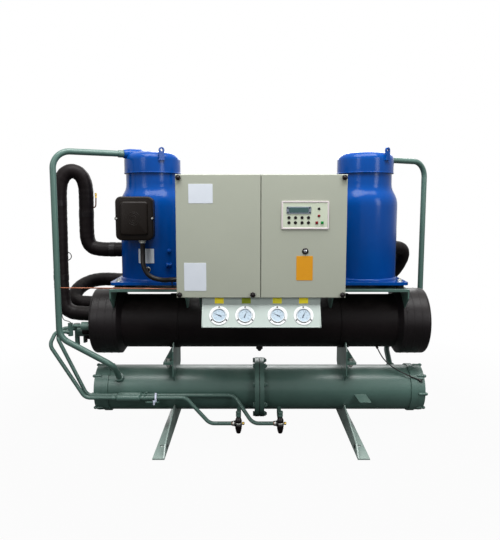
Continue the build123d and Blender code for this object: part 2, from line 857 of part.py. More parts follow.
def capillary_line():
    start = -left_riser_x + discharge_diameter / 2 + weld_gap
    route = [(start, -left_riser_y, capillary_height + 2), (-700, -left_riser_y + 3, capillary_height),
             (-440, -left_riser_y + 1, capillary_height - 3), (-box_half_width, -left_riser_y + 1, capillary_height - 3)]
    return pipe(route, [200, 200], capillary_diameter)


# Sensor wire between the two vessels

sensor_route = [(602, -60, 396), (619, -66, 360), (645, -73, 328), (681, -81, 300), (724, -89, 277),
                (768, -97, 258), (803, -103, 247)]


def sensor_wire():
    points = [Vector(*point) for point in sensor_route]
    bends = []
    for before, corner, after in zip(points, points[1:], points[2:]):
        turn = radians((corner - before).get_angle(after - corner))
        run = min((corner - before).length, (after - corner).length)
        bends.append(0.45 * run / tan(turn / 2))
    print("sensor wire bends", [round(bend) for bend in bends])
    wire = pipe(points, bends, sensor_diameter)
    length = wire.volume / (3.14159265 * sensor_diameter ** 2 / 4)
    print("sensor wire length", round(length, 1))
    return wire


def evaporator_fittings():
    """Drain plug and the gland that the sensor wire leaves by."""
    mouth = Vector(*sensor_route[0])
    back = (mouth - Vector(*sensor_route[1])).normalized()
    gland = rod(mouth, mouth + back * 4 * sensor_diameter, 2 * sensor_diameter)
    shell = along_x(evaporator_radius + weld_gap, mouth.X - 40, mouth.X + 40, 0, evaporator_height)
    return [evaporator_drain(), gland - shell]


def sensor_clip():
    """Two-pronged clip on the condenser's right head."""
    tip = Vector(*sensor_route[-1])
    along = (tip - Vector(*sensor_route[-2])).normalized()
    spoke = Vector(0, tip.Y, tip.Z - condenser_height).normalized()
    across = spoke.cross(along).normalized()
    face = Plane(origin=tip, x_dir=along, z_dir=along.cross(across))
    outline = Polyline((0, -5), (9, -5), (22, -9), (22, -4.5), (11, -1.5), (11, 1.5), (22, 4.5), (22, 9),
                       (9, 5), (0, 5), close=True)
    clip = extrude(face * make_face(outline), sensor_diameter / 2)
    clip += extrude(face * make_face(outline), -2 * sensor_diameter)
    bore = along_x(head_radius + weld_gap, tip.X - 10, tip.X + 40, 0, condenser_height)
    ring_end = condenser_half_length + head_flange_thickness
    return clip - bore - along_x(head_flange_radius + weld_gap, tip.X - 40, ring_end + weld_gap, 0, condenser_height)


# Control box

def control_box():
    body = block(-box_half_width, box_half_width, -(box_front - cover_thickness), -box_back,
                 box_bottom, box_top)
    return body


def box_cover(side):
    seam = cover_seam_x + side * cover_gap / 2
    cover = block(seam, side * box_half_width, -box_front, -(box_front - cover_thickness),
                  box_bottom, box_top)
    return fillet(cover.faces().sort_by(Axis.Y)[0].edges(), cover_rounding)


def knob_places():
    edge = box_half_width - knob_inset
    top = box_top - knob_inset
    bottom = box_bottom + knob_inset
    return [(-edge, top), (edge, top), (-edge, bottom), (edge, bottom), (cover_seam_x - 35, bottom)]


def cover_knobs():
    knobs = [along_y(knob_diameter / 2, -box_front - knob_length, -box_front, x, z) for x, z in knob_places()]
    knobs.append(along_y(lock_diameter / 2, -box_front - 0.4 * knob_length, -box_front, lock_x, lock_height))
    return knobs


def display_panel():
    panel = block(display_left, display_right, -box_front - display_thickness, -box_front,
                  display_bottom, display_top)
    face = -box_front - display_thickness
    raised = face - screen_rise
    panel += block(screen_left, screen_right, raised, face, screen_bottom, screen_top)
    for x in button_columns:
        for z in button_rows:
            panel += along_y(button_diameter / 2, raised, face, x, z)
    return panel


def box_bracket(side):
    """Two cheeks welded to the evaporator, and the upright plate that the box is bolted to."""
    arm_height = evaporator_height + bracket_arm_depth
    foot_height = evaporator_height + bracket_foot_depth
    foot_y = sqrt(evaporator_radius ** 2 - bracket_foot_depth ** 2)
    outline = [(-box_back, bracket_top), (-box_back, arm_height), (-foot_y, foot_height), (0, foot_height),
               (0, arm_height), (-box_back + bracket_knee_depth, bracket_knee_height),
               (-box_back + bracket_neck_depth, bracket_top)]
    x = side * bracket_x
    half = bracket_flange_width / 2
    bracket = block(x - half, x + half, -box_back, -box_back + plate_thickness, box_bottom + plate_thickness,
                    bracket_top)
    for offset in (-bracket_spread / 2, bracket_spread / 2):
        x0 = x + offset - plate_thickness / 2
        bracket += side_plate(outline, x0, x0 + plate_thickness)
    return bracket - along_x(evaporator_radius + weld_gap, x - half, x + half, 0, evaporator_height)


# Gauge panel

panel_fold_height = box_bottom - panel_fold_drop
panel_foot_height = panel_fold_height - panel_apron
gauge_height = panel_fold_height - gauge_drop


def panel_point(height):
    """Y on the sloping part of the panel's front at a height."""
    top_y = box_front - cover_thickness
    return -(top_y + (panel_fold_height - height) / panel_apron * panel_slope)


def panel_normal():
    slope = hypot(panel_slope, panel_apron)
    return Vector(0, -panel_apron / slope, panel_slope / slope)


def gauge_places():
    level = panel_point(gauge_height)
    for x in (-outer_gauge_x, -inner_gauge_x, inner_gauge_x, outer_gauge_x):
        x += panel_shift
        yield Plane(origin=(x, level, gauge_height), x_dir=(1, 0, 0), z_dir=panel_normal())


def gauge_panel():
    front = [(panel_point(panel_fold_height), box_bottom), (panel_point(panel_fold_height), panel_fold_height),
             (panel_point(panel_foot_height), panel_foot_height)]
    inward = -panel_normal() * panel_thickness
    back = [(front[2][0] + inward.Y, front[2][1] + inward.Z),
            (front[1][0] + panel_thickness, front[1][1] - 0.25 * panel_thickness),
            (front[0][0] + panel_thickness, front[0][1])]
    sheet = side_plate(front + back, panel_shift - panel_half_width, panel_shift + panel_half_width)
    for place in gauge_places():
        sheet -= place * Pos(0, 0, -panel_thickness) * Cylinder(
            gauge_body_radius + bolt_slack, 6 * panel_thickness)
    return sheet


def gauges():
    result = []
    for place in gauge_places():
        up = (Align.CENTER, Align.CENTER, Align.MIN)
        flange = Cylinder(gauge_flange_radius, gauge_flange_thickness, align=up)
        bezel = Cylinder(gauge_bezel_radius, gauge_bezel_height, align=up)
        body = Pos(0, 0, -gauge_body_depth) * Cylinder(gauge_body_radius, gauge_body_depth, align=up)
        result.append(place * (flange + bezel + body))
    return result


# Water connections

def grooved_stub(radius, reach, x, z):
    """Pipe stub towards the rear, its end grooved for a clamp coupling."""
    stub = along_y(radius, 0, reach, x, z)
    groove_end = reach - groove_back
    groove = along_y(radius + 1, groove_end - groove_width, groove_end, x, z)
    return stub - (groove - along_y(radius - groove_depth, 0, reach, x, z))


def evaporator_water(side):
    x = side * evaporator_stub_x
    reach = evaporator_stub_reach
    radius = evaporator_stub_diameter / 2
    stub = grooved_stub(radius, reach, x, evaporator_height)
    stub -= along_x(evaporator_radius + weld_gap, x - 2 * radius, x + 2 * radius, 0, evaporator_height)
    bottom = evaporator_radius + water_bore_floor
    return stub - along_y(radius - water_bore_wall, bottom, reach, x, evaporator_height)


def condenser_water(side):
    x = side * condenser_stub_x
    reach = condenser_stub_reach
    radius = condenser_stub_diameter / 2
    stub = grooved_stub(radius, reach, x, condenser_height)
    stub -= along_x(head_radius + weld_gap, x - radius, x + radius, 0, condenser_height)
    stub -= along_x(head_bolt_diameter / 2 + weld_gap, x - radius, x + radius, head_radius, condenser_height)
    ring_end = side * (condenser_half_length + head_flange_thickness + weld_gap)
    stub -= along_x(head_flange_radius + weld_gap, side * condenser_half_length, ring_end, 0, condenser_height)
    bottom = head_radius + head_bolt_diameter / 2 + water_bore_floor
    return stub - along_y(radius - water_bore_wall, bottom, reach, x, condenser_height)


os.makedirs("parts", exist_ok=True)

for side in (-1, 1):
    name = sided(side)
    save(foot(side), "foot_" + name)
    save(condenser_shell(side) + liquid_outlet(side * (front_valve_x if side < 0 else rear_valve_x)),
         "condenser_shell_" + name)
    save(condenser_head(side), "condenser_head_" + name)
    save(condenser_saddle(side), "condenser_saddle_" + name)
    save(evaporator_saddle(side), "evaporator_saddle_" + name)
    save(evaporator_end(side), "evaporator_end_" + name)
    save(platform(side), "platform_" + name)
    save(compressor_base(side), "compressor_base_" + name)
    save(compressor_body(side), "compressor_body_" + name)
    save(compressor_cap(side), "compressor_cap_" + name)
    save(terminal_box(side), "terminal_box_" + name)
    save(discharge_pipe(side), "discharge_pipe_" + name)
    save(box_cover(side), "box_cover_" + name)
    save(box_bracket(side), "box_bracket_" + name)
    save(evaporator_water(side), "evaporator_water_" + name)
    save(condenser_water(side), "condenser_water_" + name)

save(condenser_gasket(), "condenser_gasket")
save(Compound(children=middle_bolts()), "flange_bolts")
save(Compound(children=head_bolts()), "head_bolts")
save(Compound(children=saddle_bolts()), "saddle_bolts")
save(evaporator_shell(), "evaporator_shell")
save(Compound(children=evaporator_fittings()), "evaporator_fittings")
save(Compound(children=rubber_mounts()), "rubber_mounts")
save(left_conduit(), "motor_conduit_left")
save(right_conduit(), "motor_conduit_right")
save(suction_pipe_left(), "suction_pipe_left")
save(suction_pipe_right(), "suction_pipe_right")
save(Compound(children=front_line()), "liquid_line_front")
save(Compound(children=rear_line()), "liquid_line_rear")
save(Compound(children=filter_driers()), "filter_driers")
save(Compound(children=[shutoff_valve(-front_valve_x), shutoff_valve(rear_valve_x)]), "shutoff_valves")
save(expansion_valve_front(), "expansion_valve_front")
save(expansion_valve_rear(), "expansion_valve_rear")
save(capillary_line(), "capillary_line")
save(sensor_wire(), "sensor_wire")
save(sensor_clip(), "sensor_clip")
save(control_box(), "control_box")
save(Compound(children=cover_knobs()), "cover_knobs")
save(display_panel(), "display_panel")
save(gauge_panel(), "gauge_panel")
save(Compound(children=gauges()), "pressure_gauges")
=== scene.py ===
from math import atan2, cos, pi, radians, sin, sqrt
import bmesh
import bpy
from mathutils import Matrix, Vector


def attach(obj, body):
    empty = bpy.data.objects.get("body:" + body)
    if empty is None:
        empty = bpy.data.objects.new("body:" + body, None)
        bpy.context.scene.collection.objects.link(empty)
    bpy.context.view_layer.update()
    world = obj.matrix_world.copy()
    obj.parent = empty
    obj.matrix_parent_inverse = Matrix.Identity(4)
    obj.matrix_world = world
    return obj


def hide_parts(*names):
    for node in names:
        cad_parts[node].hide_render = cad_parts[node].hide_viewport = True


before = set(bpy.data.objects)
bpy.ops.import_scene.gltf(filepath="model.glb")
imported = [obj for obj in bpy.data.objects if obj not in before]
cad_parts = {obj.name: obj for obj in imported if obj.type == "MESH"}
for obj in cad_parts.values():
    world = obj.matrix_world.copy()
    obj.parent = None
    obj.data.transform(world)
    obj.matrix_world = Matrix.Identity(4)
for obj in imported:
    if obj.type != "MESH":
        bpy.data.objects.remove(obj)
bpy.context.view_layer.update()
print("frame loaded:", len(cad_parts), "nodes")

# Lengths are in millimetres, as in the part's source, and meshes are scaled to metres when they are finished.
# The camera, the probe wire, the floor and the lamps are in metres.
mm = 0.001


def addObject(name, data):
    newOne = bpy.data.objects.new(name, data)
    bpy.context.collection.objects.link(newOne)
    return newOne


# Camera

cameraLook = {"place": (-0.056, -2.8, 1.115), "pitchDown": 6.6, "lens": 36.667, "shift": 0.0028}

cameraData = bpy.data.cameras.new("camera")
cameraData.lens = cameraLook["lens"]
cameraData.shift_x = cameraLook["shift"]
camera = addObject("camera", cameraData)
camera.location = cameraLook["place"]
camera.rotation_euler = (radians(90 - cameraLook["pitchDown"]), 0, 0)
bpy.context.scene.camera = camera
bpy.context.scene.view_settings.view_transform = "Standard"
print("camera set")


def srgb(red, green, blue):
    # A colour picked off a screen, 0 to 255, as the linear colour a shader wants
    def linear(value):
        value /= 255
        return value / 12.92 if value <= 0.04045 else ((value + 0.055) / 1.055) ** 2.4
    return (linear(red), linear(green), linear(blue), 1)


# Cord: the probe wire that leaves the evaporator and ends in a clip on the condenser's head

wireLook = {    # the route is the one in the part's source
    "diameter": 0.006,
    "length": 0.2631,
    "route": [(0.602, -0.060, 0.396), (0.619, -0.066, 0.360), (0.645, -0.073, 0.328), (0.681, -0.081, 0.300),
              (0.724, -0.089, 0.277), (0.768, -0.097, 0.258), (0.803, -0.103, 0.247)],
}


def smoothCurve(name, route, diameter, resolution=12, sides=6):
    # A smooth line in metres; each point carries the tube's radius, which the bevel of 1 is scaled by
    curve = bpy.data.curves.new(name, "CURVE")
    curve.dimensions = "3D"
    curve.bevel_depth = 1 if diameter else 0
    curve.bevel_resolution = sides
    curve.use_fill_caps = bool(diameter)
    spline = curve.splines.new("NURBS")
    spline.points.add(len(route) - 1)
    for point, place in zip(spline.points, route):
        point.co = (*place, 1)
        point.radius = diameter / 2
    spline.order_u = 3
    spline.use_endpoint_u = True
    spline.resolution_u = resolution
    return addObject(name, curve)


probeWire = smoothCurve("probeWire", wireLook["route"], wireLook["diameter"])
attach(probeWire, "root")
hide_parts("sensor_wire")
print("probe wire laid")


# Shader groups

def newGroup(name, inputs, outputs):
    group = bpy.data.node_groups.new(name, "ShaderNodeTree")
    for label, kind, value in inputs:
        socket = group.interface.new_socket(name=label, in_out="INPUT", socket_type="NodeSocket" + kind)
        if value is not None:
            socket.default_value = value
    for label, kind in outputs:
        group.interface.new_socket(name=label, in_out="OUTPUT", socket_type="NodeSocket" + kind)
    return group, group.nodes.new("NodeGroupInput"), group.nodes.new("NodeGroupOutput")


def addNode(tree, kind, settings=None, **values):
    node = tree.nodes.new("ShaderNode" + kind)
    for key, value in (settings or {}).items():
        setattr(node, key, value)
    for label, value in values.items():
        node.inputs[label.replace("_", " ")].default_value = value
    return node


def addMath(tree, operation):
    return addNode(tree, "Math", {"operation": operation})


def joinNodes(tree, *links):
    # Each link is a node and its output, then a node and its input
    for start, output, end, entry in links:
        tree.links.new(start.outputs[output], end.inputs[entry])


def makeToneGroup():
    # Slow uneven colour, as paint that went on in more than one pass
    group, given, result = newGroup(
        "unevenTone",
        [("Vector", "Vector", None), ("Color", "Color", (0.5, 0.5, 0.5, 1)),
         ("Other", "Color", (0.4, 0.4, 0.4, 1)), ("Scale", "Float", 6.0), ("Amount", "Float", 0.5)],
        [("Color", "Color"), ("Mask", "Float")])
    coarse = addNode(group, "TexNoise", Detail=5.0, Roughness=0.6)
    ramp = addNode(group, "MapRange", From_Min=0.35, From_Max=0.68)
    share = addMath(group, "MULTIPLY")
    mix = addNode(group, "Mix", {"data_type": "RGBA"})
    joinNodes(group, (given, "Vector", coarse, "Vector"), (given, "Scale", coarse, "Scale"),
              (coarse, "Fac", ramp, "Value"), (ramp, "Result", share, 0), (given, "Amount", share, 1),
              (share, 0, mix, "Factor"), (given, "Color", mix, 6), (given, "Other", mix, 7),
              (mix, 2, result, "Color"), (share, 0, result, "Mask"))
    return group


def breakMask(group, given, result, mask, noise, low, high):
    # The mask where the noise lets it through, times the amount, as the group's result
    broken = addNode(group, "MapRange", From_Min=low, From_Max=high)
    both = addMath(group, "MULTIPLY")
    share = addMath(group, "MULTIPLY")
    joinNodes(group, (given, "Vector", noise, "Vector"), (noise, "Fac", broken, "Value"),
              (mask, "Result", both, 0), (broken, "Result", both, 1), (both, 0, share, 0),
              (given, "Amount", share, 1), (share, 0, result, "Mask"))


def makeWearGroup():
    # Edges rubbed through: where a rounded normal leaves the true one, broken up by noise
    group, given, result = newGroup(
        "edgeWear", [("Vector", "Vector", None), ("Radius", "Float", 0.0015), ("Amount", "Float", 0.5)],
        [("Mask", "Float")])
    bevel = addNode(group, "Bevel", {"samples": 4})
    geometry = addNode(group, "NewGeometry")
    dot = addNode(group, "VectorMath", {"operation": "DOT_PRODUCT"})
    ramp = addNode(group, "MapRange", From_Min=0.995, From_Max=0.86)
    noise = addNode(group, "TexNoise", Scale=38.0, Detail=6.0, Roughness=0.7)
    joinNodes(group, (given, "Radius", bevel, "Radius"), (bevel, "Normal", dot, 0),
              (geometry, "Normal", dot, 1), (dot, "Value", ramp, "Value"))
    breakMask(group, given, result, ramp, noise, 0.46, 0.62)
    return group


def makeDustGroup():
    # Fine dust that settles on faces that look up
    group, given, result = newGroup(
        "settledDust", [("Vector", "Vector", None), ("Amount", "Float", 0.3)], [("Mask", "Float")])
    geometry = addNode(group, "NewGeometry")
    split = addNode(group, "SeparateXYZ")
    ramp = addNode(group, "MapRange", From_Min=0.35, From_Max=1.0)
    noise = addNode(group, "TexNoise", Scale=14.0, Detail=7.0, Roughness=0.72)
    joinNodes(group, (geometry, "Normal", split, "Vector"), (split, "Z", ramp, "Value"))
    breakMask(group, given, result, ramp, noise, 0.3, 0.75)
    return group


def makeGrainGroup():
    # Height of a skin: fine grain over slow waves
    group, given, result = newGroup(
        "skinHeight",
        [("Vector", "Vector", None), ("Fine", "Float", 400.0), ("Fine Amount", "Float", 0.5),
         ("Slow", "Float", 9.0), ("Slow Amount", "Float", 0.5)],
        [("Height", "Float")])
    total = addMath(group, "ADD")
    for entry, (grain, detail, roughness) in enumerate((("Fine", 3.0, 0.55), ("Slow", 2.0, 0.5))):
        noise = addNode(group, "TexNoise", Detail=detail, Roughness=roughness)
        share = addMath(group, "MULTIPLY")
        joinNodes(group, (given, "Vector", noise, "Vector"), (given, grain, noise, "Scale"),
                  (noise, "Fac", share, 0), (given, grain + " Amount", share, 1), (share, 0, total, entry))
    joinNodes(group, (total, 0, result, "Height"))
    return group


unevenTone = makeToneGroup()
edgeWear = makeWearGroup()
settledDust = makeDustGroup()
skinHeight = makeGrainGroup()
print("shader groups made")


# Materials

# A finish varies between two colours (uneven: scale, share), has worn edges (share, colour), dust, and a skin
# (fine grain's scale and share, slow waves' scale and share, depth). Colours are 0 to 255, as on a screen.
plainFinish = {"roughness": 0.45, "specular": 0.4, "metallic": 0, "uneven": (20, 0.5), "wear": None,
               "dust": 0.05, "skin": (300, 0.3, 20, 0.2, 0.05)}
finishes = {    # what differs from the plain finish
    "greenEnamel": {"color": (78, 106, 98), "other": (66, 92, 85), "roughness": 0.28, "uneven": (5, 0.55),
        "wear": (0.35, (120, 132, 126)), "dust": 0.16, "skin": (260, 0.25, 14, 0.5, 0.12)},
    # the feet's green is a lighter copy of greenEnamel: painted light, standing for the highlight on the
    # feet's top flanges
    "footGreenPaintedLight": {"color": (136, 154, 148), "other": (122, 140, 134), "roughness": 0.26, "specular": 0.6,
        "uneven": (5, 0.55), "wear": (0.35, (140, 150, 146)), "dust": 0.2,
        "skin": (260, 0.25, 14, 0.5, 0.12)},
    "blueEnamel": {"color": (0, 66, 142), "other": (0, 52, 120), "roughness": 0.16, "specular": 0.15,
        "uneven": (4, 0.5), "wear": (0.2, (70, 110, 165)), "dust": 0.06, "skin": (180, 0.3, 12, 0.8, 0.1)},
    "boxPowderCoat": {"color": (166, 170, 156), "other": (158, 162, 149), "roughness": 0.5, "specular": 0.3,
        "uneven": (3, 0.5), "wear": (0.2, (196, 196, 186)), "dust": 0.1, "skin": (420, 0.9, 8, 0.2, 0.14)},
    "platePaint": {"color": (168, 179, 174), "other": (160, 171, 166), "roughness": 0.4, "uneven": (5, 0.5),
        "wear": (0.2, (160, 165, 162)), "dust": 0.15, "skin": (300, 0.4, 9, 0.2, 0.06)},
    "blackFoam": {"color": (15, 11, 12), "other": (24, 19, 20), "roughness": 0.42, "specular": 0.1,
        "uneven": (7, 0.7), "wear": (0.25, (58, 54, 55)), "dust": 0.08, "skin": (520, 0.35, 16, 1.2, 0.3)},
    "foamCap": {"color": (18, 15, 16), "other": (27, 23, 25), "roughness": 0.3, "specular": 0.18,
        "uneven": (6, 0.7), "wear": (0.25, (70, 70, 74)), "dust": 0.06, "skin": (420, 0.3, 11, 1, 0.3)},
    "blackRubber": {"color": (18, 18, 19), "other": (26, 26, 26), "roughness": 0.65, "specular": 0.2,
        "uneven": (12, 0.5), "wear": (0.2, (60, 60, 60)), "dust": 0.3, "skin": (500, 0.4, 20, 0.3, 0.12)},
    "blackPlastic": {"color": (23, 18, 15), "other": (18, 14, 12), "roughness": 0.3, "specular": 0.14,
        "uneven": (9, 0.4), "wear": (0.25, (66, 60, 56)), "dust": 0.06, "skin": (700, 0.5, 10, 0.1, 0.12)},
    "hoseSheath": {"color": (14, 11, 10), "other": (20, 16, 14), "roughness": 0.28, "specular": 0.16,
        "uneven": (14, 0.5), "dust": 0.1, "skin": (500, 0.3, 24, 0.5, 0.1)},
    "wireSheath": {"color": (22, 22, 23), "other": (30, 30, 30), "uneven": (20, 0.4), "dust": 0.2,
        "skin": (600, 0.3, 30, 0.2, 0.08)},
    "zincPlate": {"color": (176, 178, 176), "other": (150, 150, 142), "roughness": 0.36, "metallic": 1,
        "uneven": (40, 0.7), "wear": (0.3, (205, 205, 200)), "dust": 0.15, "skin": (600, 0.4, 60, 0.3, 0.1)},
    "brightSteel": {"color": (205, 207, 210), "other": (180, 182, 186), "roughness": 0.22, "metallic": 1,
        "uneven": (30, 0.5), "wear": (0.2, (225, 225, 225)), "skin": (500, 0.3, 40, 0.2, 0.05)},
    "drawnCopper": {"color": (140, 92, 72), "other": (112, 67, 49), "roughness": 0.34, "metallic": 1,
        "uneven": (25, 0.8), "wear": (0.2, (215, 150, 115)), "dust": 0.1, "skin": (400, 0.3, 40, 0.3, 0.08)},
    "turnedBrass": {"color": (200, 168, 84), "other": (160, 128, 60), "roughness": 0.33, "metallic": 1,
        "uneven": (30, 0.7), "wear": (0.3, (225, 200, 130)), "dust": 0.12, "skin": (500, 0.3, 40, 0.3, 0.08)},
    "whiteEnamel": {"color": (226, 229, 230), "other": (212, 216, 218), "roughness": 0.32,
        "uneven": (12, 0.4), "wear": (0.1, (180, 182, 184)), "dust": 0.06, "skin": (400, 0.3, 20, 0.2, 0.04)},
    "dialBlue": {"color": (168, 184, 196), "other": (156, 174, 189), "roughness": 0.5, "specular": 0.3,
        "uneven": (20, 0.4), "dust": 0, "skin": (400, 0.2, 20, 0.1, 0.02)},
    # dark ink of the dial marks and pointers; the lock's key slot also takes it, as painted shade
    "inkAndSlotShade": {"color": (40, 44, 58), "other": (54, 58, 72), "roughness": 0.5, "uneven": (60, 0.3),
        "dust": 0, "skin": (400, 0.2, 20, 0.1, 0.02)},
    "displayPlastic": {"color": (196, 204, 184), "other": (189, 197, 177), "uneven": (8, 0.4),
        "wear": (0.1, (220, 222, 205)), "skin": (650, 0.5, 10, 0.1, 0.06)},
    "bezelGrey": {"color": (124, 134, 146), "other": (112, 122, 134), "roughness": 0.4, "uneven": (20, 0.4),
        "wear": (0.2, (140, 146, 152)), "skin": (600, 0.4, 10, 0.1, 0.05)},
    "screenGreen": {"color": (62, 90, 90), "other": (52, 78, 80), "roughness": 0.14, "specular": 0.3,
        "uneven": (60, 0.5), "dust": 0.02, "skin": (100, 0.1, 20, 0.1, 0.01)},
    "plateWhite": {"color": (212, 218, 226), "other": (203, 210, 220), "roughness": 0.4, "uneven": (14, 0.5),
        "wear": (0.15, (205, 205, 200)), "skin": (300, 0.2, 20, 0.3, 0.03)},
    "plateAmber": {"color": (214, 148, 24), "other": (204, 138, 18), "roughness": 0.42, "uneven": (14, 0.5),
        "wear": (0.2, (235, 200, 120)), "skin": (300, 0.2, 20, 0.3, 0.03)},
    "tagYellow": {"color": (255, 236, 47), "other": (250, 222, 40), "wear": (0.1, (230, 226, 160)),
        "skin": (300, 0.2, 20, 0.3, 0.03)},
    "lampGreen": {"color": (8, 128, 52), "other": (6, 104, 44), "roughness": 0.2, "uneven": (80, 0.4),
        "dust": 0, "skin": (300, 0.1, 20, 0.1, 0.01)},
    "rimRose": {"color": (214, 205, 206), "other": (205, 196, 196), "roughness": 0.4, "uneven": (12, 0.4),
        "wear": (0.1, (228, 222, 222)), "skin": (500, 0.3, 20, 0.2, 0.04)},
    "keyBlack": {"color": (14, 6, 8), "other": (10, 4, 6), "roughness": 0.3, "specular": 0.3,
        "uneven": (30, 0.4), "wear": (0.1, (70, 60, 60)), "skin": (500, 0.3, 20, 0.2, 0.05)},
    "lampDark": {"color": (122, 14, 26), "other": (98, 10, 20), "roughness": 0.2, "uneven": (80, 0.4),
        "dust": 0, "skin": (300, 0.1, 20, 0.1, 0.01)},
    "tagOlive": {"color": (132, 146, 21), "other": (116, 132, 17), "wear": (0.1, (170, 180, 110)),
        "skin": (300, 0.2, 20, 0.3, 0.03)},
    "tagLime": {"color": (231, 222, 54), "other": (217, 210, 47), "wear": (0.1, (230, 226, 160)),
        "skin": (300, 0.2, 20, 0.3, 0.03)},
    "tieWhite": {"color": (214, 220, 240), "other": (204, 210, 232), "roughness": 0.5, "uneven": (40, 0.5),
        "wear": (0.1, (235, 235, 230)), "dust": 0.1, "skin": (300, 0.3, 20, 0.3, 0.05)},
}
dustColor = (150, 146, 138)
edgeRounding = 1.2      # how far a CAD edge is softened in the shading, in millimetres
dustRoughness = 0.9


def newMaterial(name, look):
    material = bpy.data.materials.new(name)
    material.use_nodes = True
    material.diffuse_color = srgb(*look["color"])
    tree = material.node_tree
    shader = tree.nodes["Principled BSDF"]
    shader.inputs["Metallic"].default_value = look["metallic"]
    shader.inputs["Specular IOR Level"].default_value = look["specular"]
    where = addNode(tree, "TexCoord")
    scale, share = look["uneven"]
    tone = addNode(tree, "Group", {"node_tree": unevenTone}, Color=srgb(*look["color"]),
                   Other=srgb(*look["other"]), Scale=scale, Amount=share)
    rough = addNode(tree, "MapRange", From_Min=0.0, From_Max=1.0, To_Min=look["roughness"],
                    To_Max=min(1.0, look["roughness"] * 1.35))
    joinNodes(tree, (where, "Object", tone, "Vector"), (tone, "Mask", rough, "Value"))
    color, roughness = (tone, "Color"), (rough, "Result")
    wear, wearColor = look["wear"] or (0, dustColor)
    for group, amount, shade in ((edgeWear, wear, wearColor), (settledDust, look["dust"], dustColor)):
        if amount > 0:
            mask = addNode(tree, "Group", {"node_tree": group}, Amount=amount)
            mix = addNode(tree, "Mix", {"data_type": "RGBA"})
            mix.inputs[7].default_value = srgb(*shade)
            joinNodes(tree, (where, "Object", mask, "Vector"), (mask, "Mask", mix, "Factor"),
                      (*color, mix, 6))
            color = (mix, 2)
    if look["dust"] > 0:
        duller = addNode(tree, "Mix", {"data_type": "FLOAT"})
        duller.inputs[3].default_value = dustRoughness
        joinNodes(tree, (mask, "Mask", duller, "Factor"), (*roughness, duller, 2))
        roughness = (duller, 0)
    fine, fineShare, slow, slowShare, depth = look["skin"]
    skin = addNode(tree, "Group", {"node_tree": skinHeight}, Fine=fine, Fine_Amount=fineShare, Slow=slow,
                   Slow_Amount=slowShare)
    soft = addNode(tree, "Bevel", {"samples": 4}, Radius=edgeRounding * mm)
    bump = addNode(tree, "Bump", Strength=depth, Distance=0.002)
    joinNodes(tree, (*color, shader, "Base Color"), (*roughness, shader, "Roughness"),
              (where, "Object", skin, "Vector"), (skin, "Height", bump, "Height"),
              (soft, "Normal", bump, "Normal"), (bump, "Normal", shader, "Normal"))
    return material


materials = {name: newMaterial(name, {**plainFinish, **look}) for name, look in finishes.items()}
print("materials made:", len(materials))


def dress(node, finish):
    # A CAD node keeps its shape and takes a finish
    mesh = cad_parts[node].data
    mesh.materials.clear()
    mesh.materials.append(materials[finish])


nodeFinish = {    # by how a node's name starts; any other node is greenEnamel
    "compressor_": "blueEnamel", "control_box": "boxPowderCoat", "box_cover": "boxPowderCoat",
    "evaporator_shell": "blackFoam", "evaporator_end": "foamCap", "suction_pipe": "blackFoam",
    "rubber_mounts": "blackRubber", "condenser_gasket": "blackRubber", "evaporator_fittings": "blackRubber",
    "terminal_box": "blackPlastic", "motor_conduit": "blackPlastic", "cover_knobs": "blackPlastic",
    # the feet take a lighter green than the other green parts, with painted light in it
    "foot": "footGreenPaintedLight", "sensor_clip": "wireSheath", "capillary_line": "drawnCopper",
    "saddle_bolts": "zincPlate", "shutoff_valves": "turnedBrass", "gauge_panel": "platePaint",
    "pressure_gauges": "whiteEnamel", "display_panel": "displayPlastic",
}
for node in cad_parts:
    known = [finish for start, finish in nodeFinish.items() if node.startswith(start)]
    dress(node, known[0] if known else "greenEnamel")
probeWire.data.materials.append(materials["wireSheath"])
print("CAD nodes dressed")


# Places and mesh tools

def at(x, y, z):
    return Matrix.Translation((x, y, z))


def turned(degrees, axis):
    return Matrix.Rotation(radians(degrees), 4, axis)


def facingFront(x, y, z):
    # Z of the part points out of the front, Y of the part points up
    return at(x, y, z) @ turned(90, "X")


def facingAlong(place, direction):
    # Z of the part points along a direction
    return at(*place) @ Vector(direction).normalized().to_track_quat("Z", "Y").to_matrix().to_4x4()


here = [at(0, 0, 0)]    # for a part that stays where it was made


def stamp(bm, part, places):
    # Copies of one small part, set down at each place
    mesh = bpy.data.meshes.new("stamp")
    part.to_mesh(mesh)
    part.free()
    for place in places:
        copy = mesh.copy()
        copy.transform(place)
        bm.from_mesh(copy)
        bpy.data.meshes.remove(copy)
    bpy.data.meshes.remove(mesh)


def joinParts(parts):
    # One mesh of small parts, each given with its places
    bm = bmesh.new()
    for part, places in parts:
        stamp(bm, part, places)
    return bm


def settle(piece, finish, replaced=None):
    # A piece gets its finish and its body, and may stand in for a CAD node
    piece.data.materials.append(materials[finish])
    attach(piece, "root")
    if replaced:
        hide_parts(replaced)


def makePiece(name, finish, parts, replaced=None):
    bm = joinParts(parts)
    bmesh.ops.remove_doubles(bm, verts=bm.verts, dist=0.01)
    bmesh.ops.recalc_face_normals(bm, faces=bm.faces)
    mesh = bpy.data.meshes.new(name)
    bm.to_mesh(mesh)
    bm.free()
    mesh.transform(Matrix.Scale(mm, 4))
    mesh.shade_smooth()
    mesh.set_sharp_from_angle(angle=radians(38))
    settle(addObject(name, mesh), finish, replaced)


def metres(route):
    return [tuple(value * mm for value in place) for place in route]


def makeCurve(name, route, diameter, finish, resolution=10, sides=4, replaced=None):
    settle(smoothCurve(name, metres(route), diameter * mm, resolution, sides), finish, replaced)


def roundEdges(part, edges, offset, segments):
    bmesh.ops.bevel(part, geom=edges, offset=offset, offset_type="OFFSET", affect="EDGES", segments=segments,
                    profile=0.5, material=-1)


def thicken(part, step):
    # Extrudes all faces by a step
    grown = bmesh.ops.extrude_face_region(part, geom=part.faces[:])["geom"]
    bmesh.ops.translate(part, vec=step, verts=[one for one in grown if isinstance(one, bmesh.types.BMVert)])
    bmesh.ops.recalc_face_normals(part, faces=part.faces)


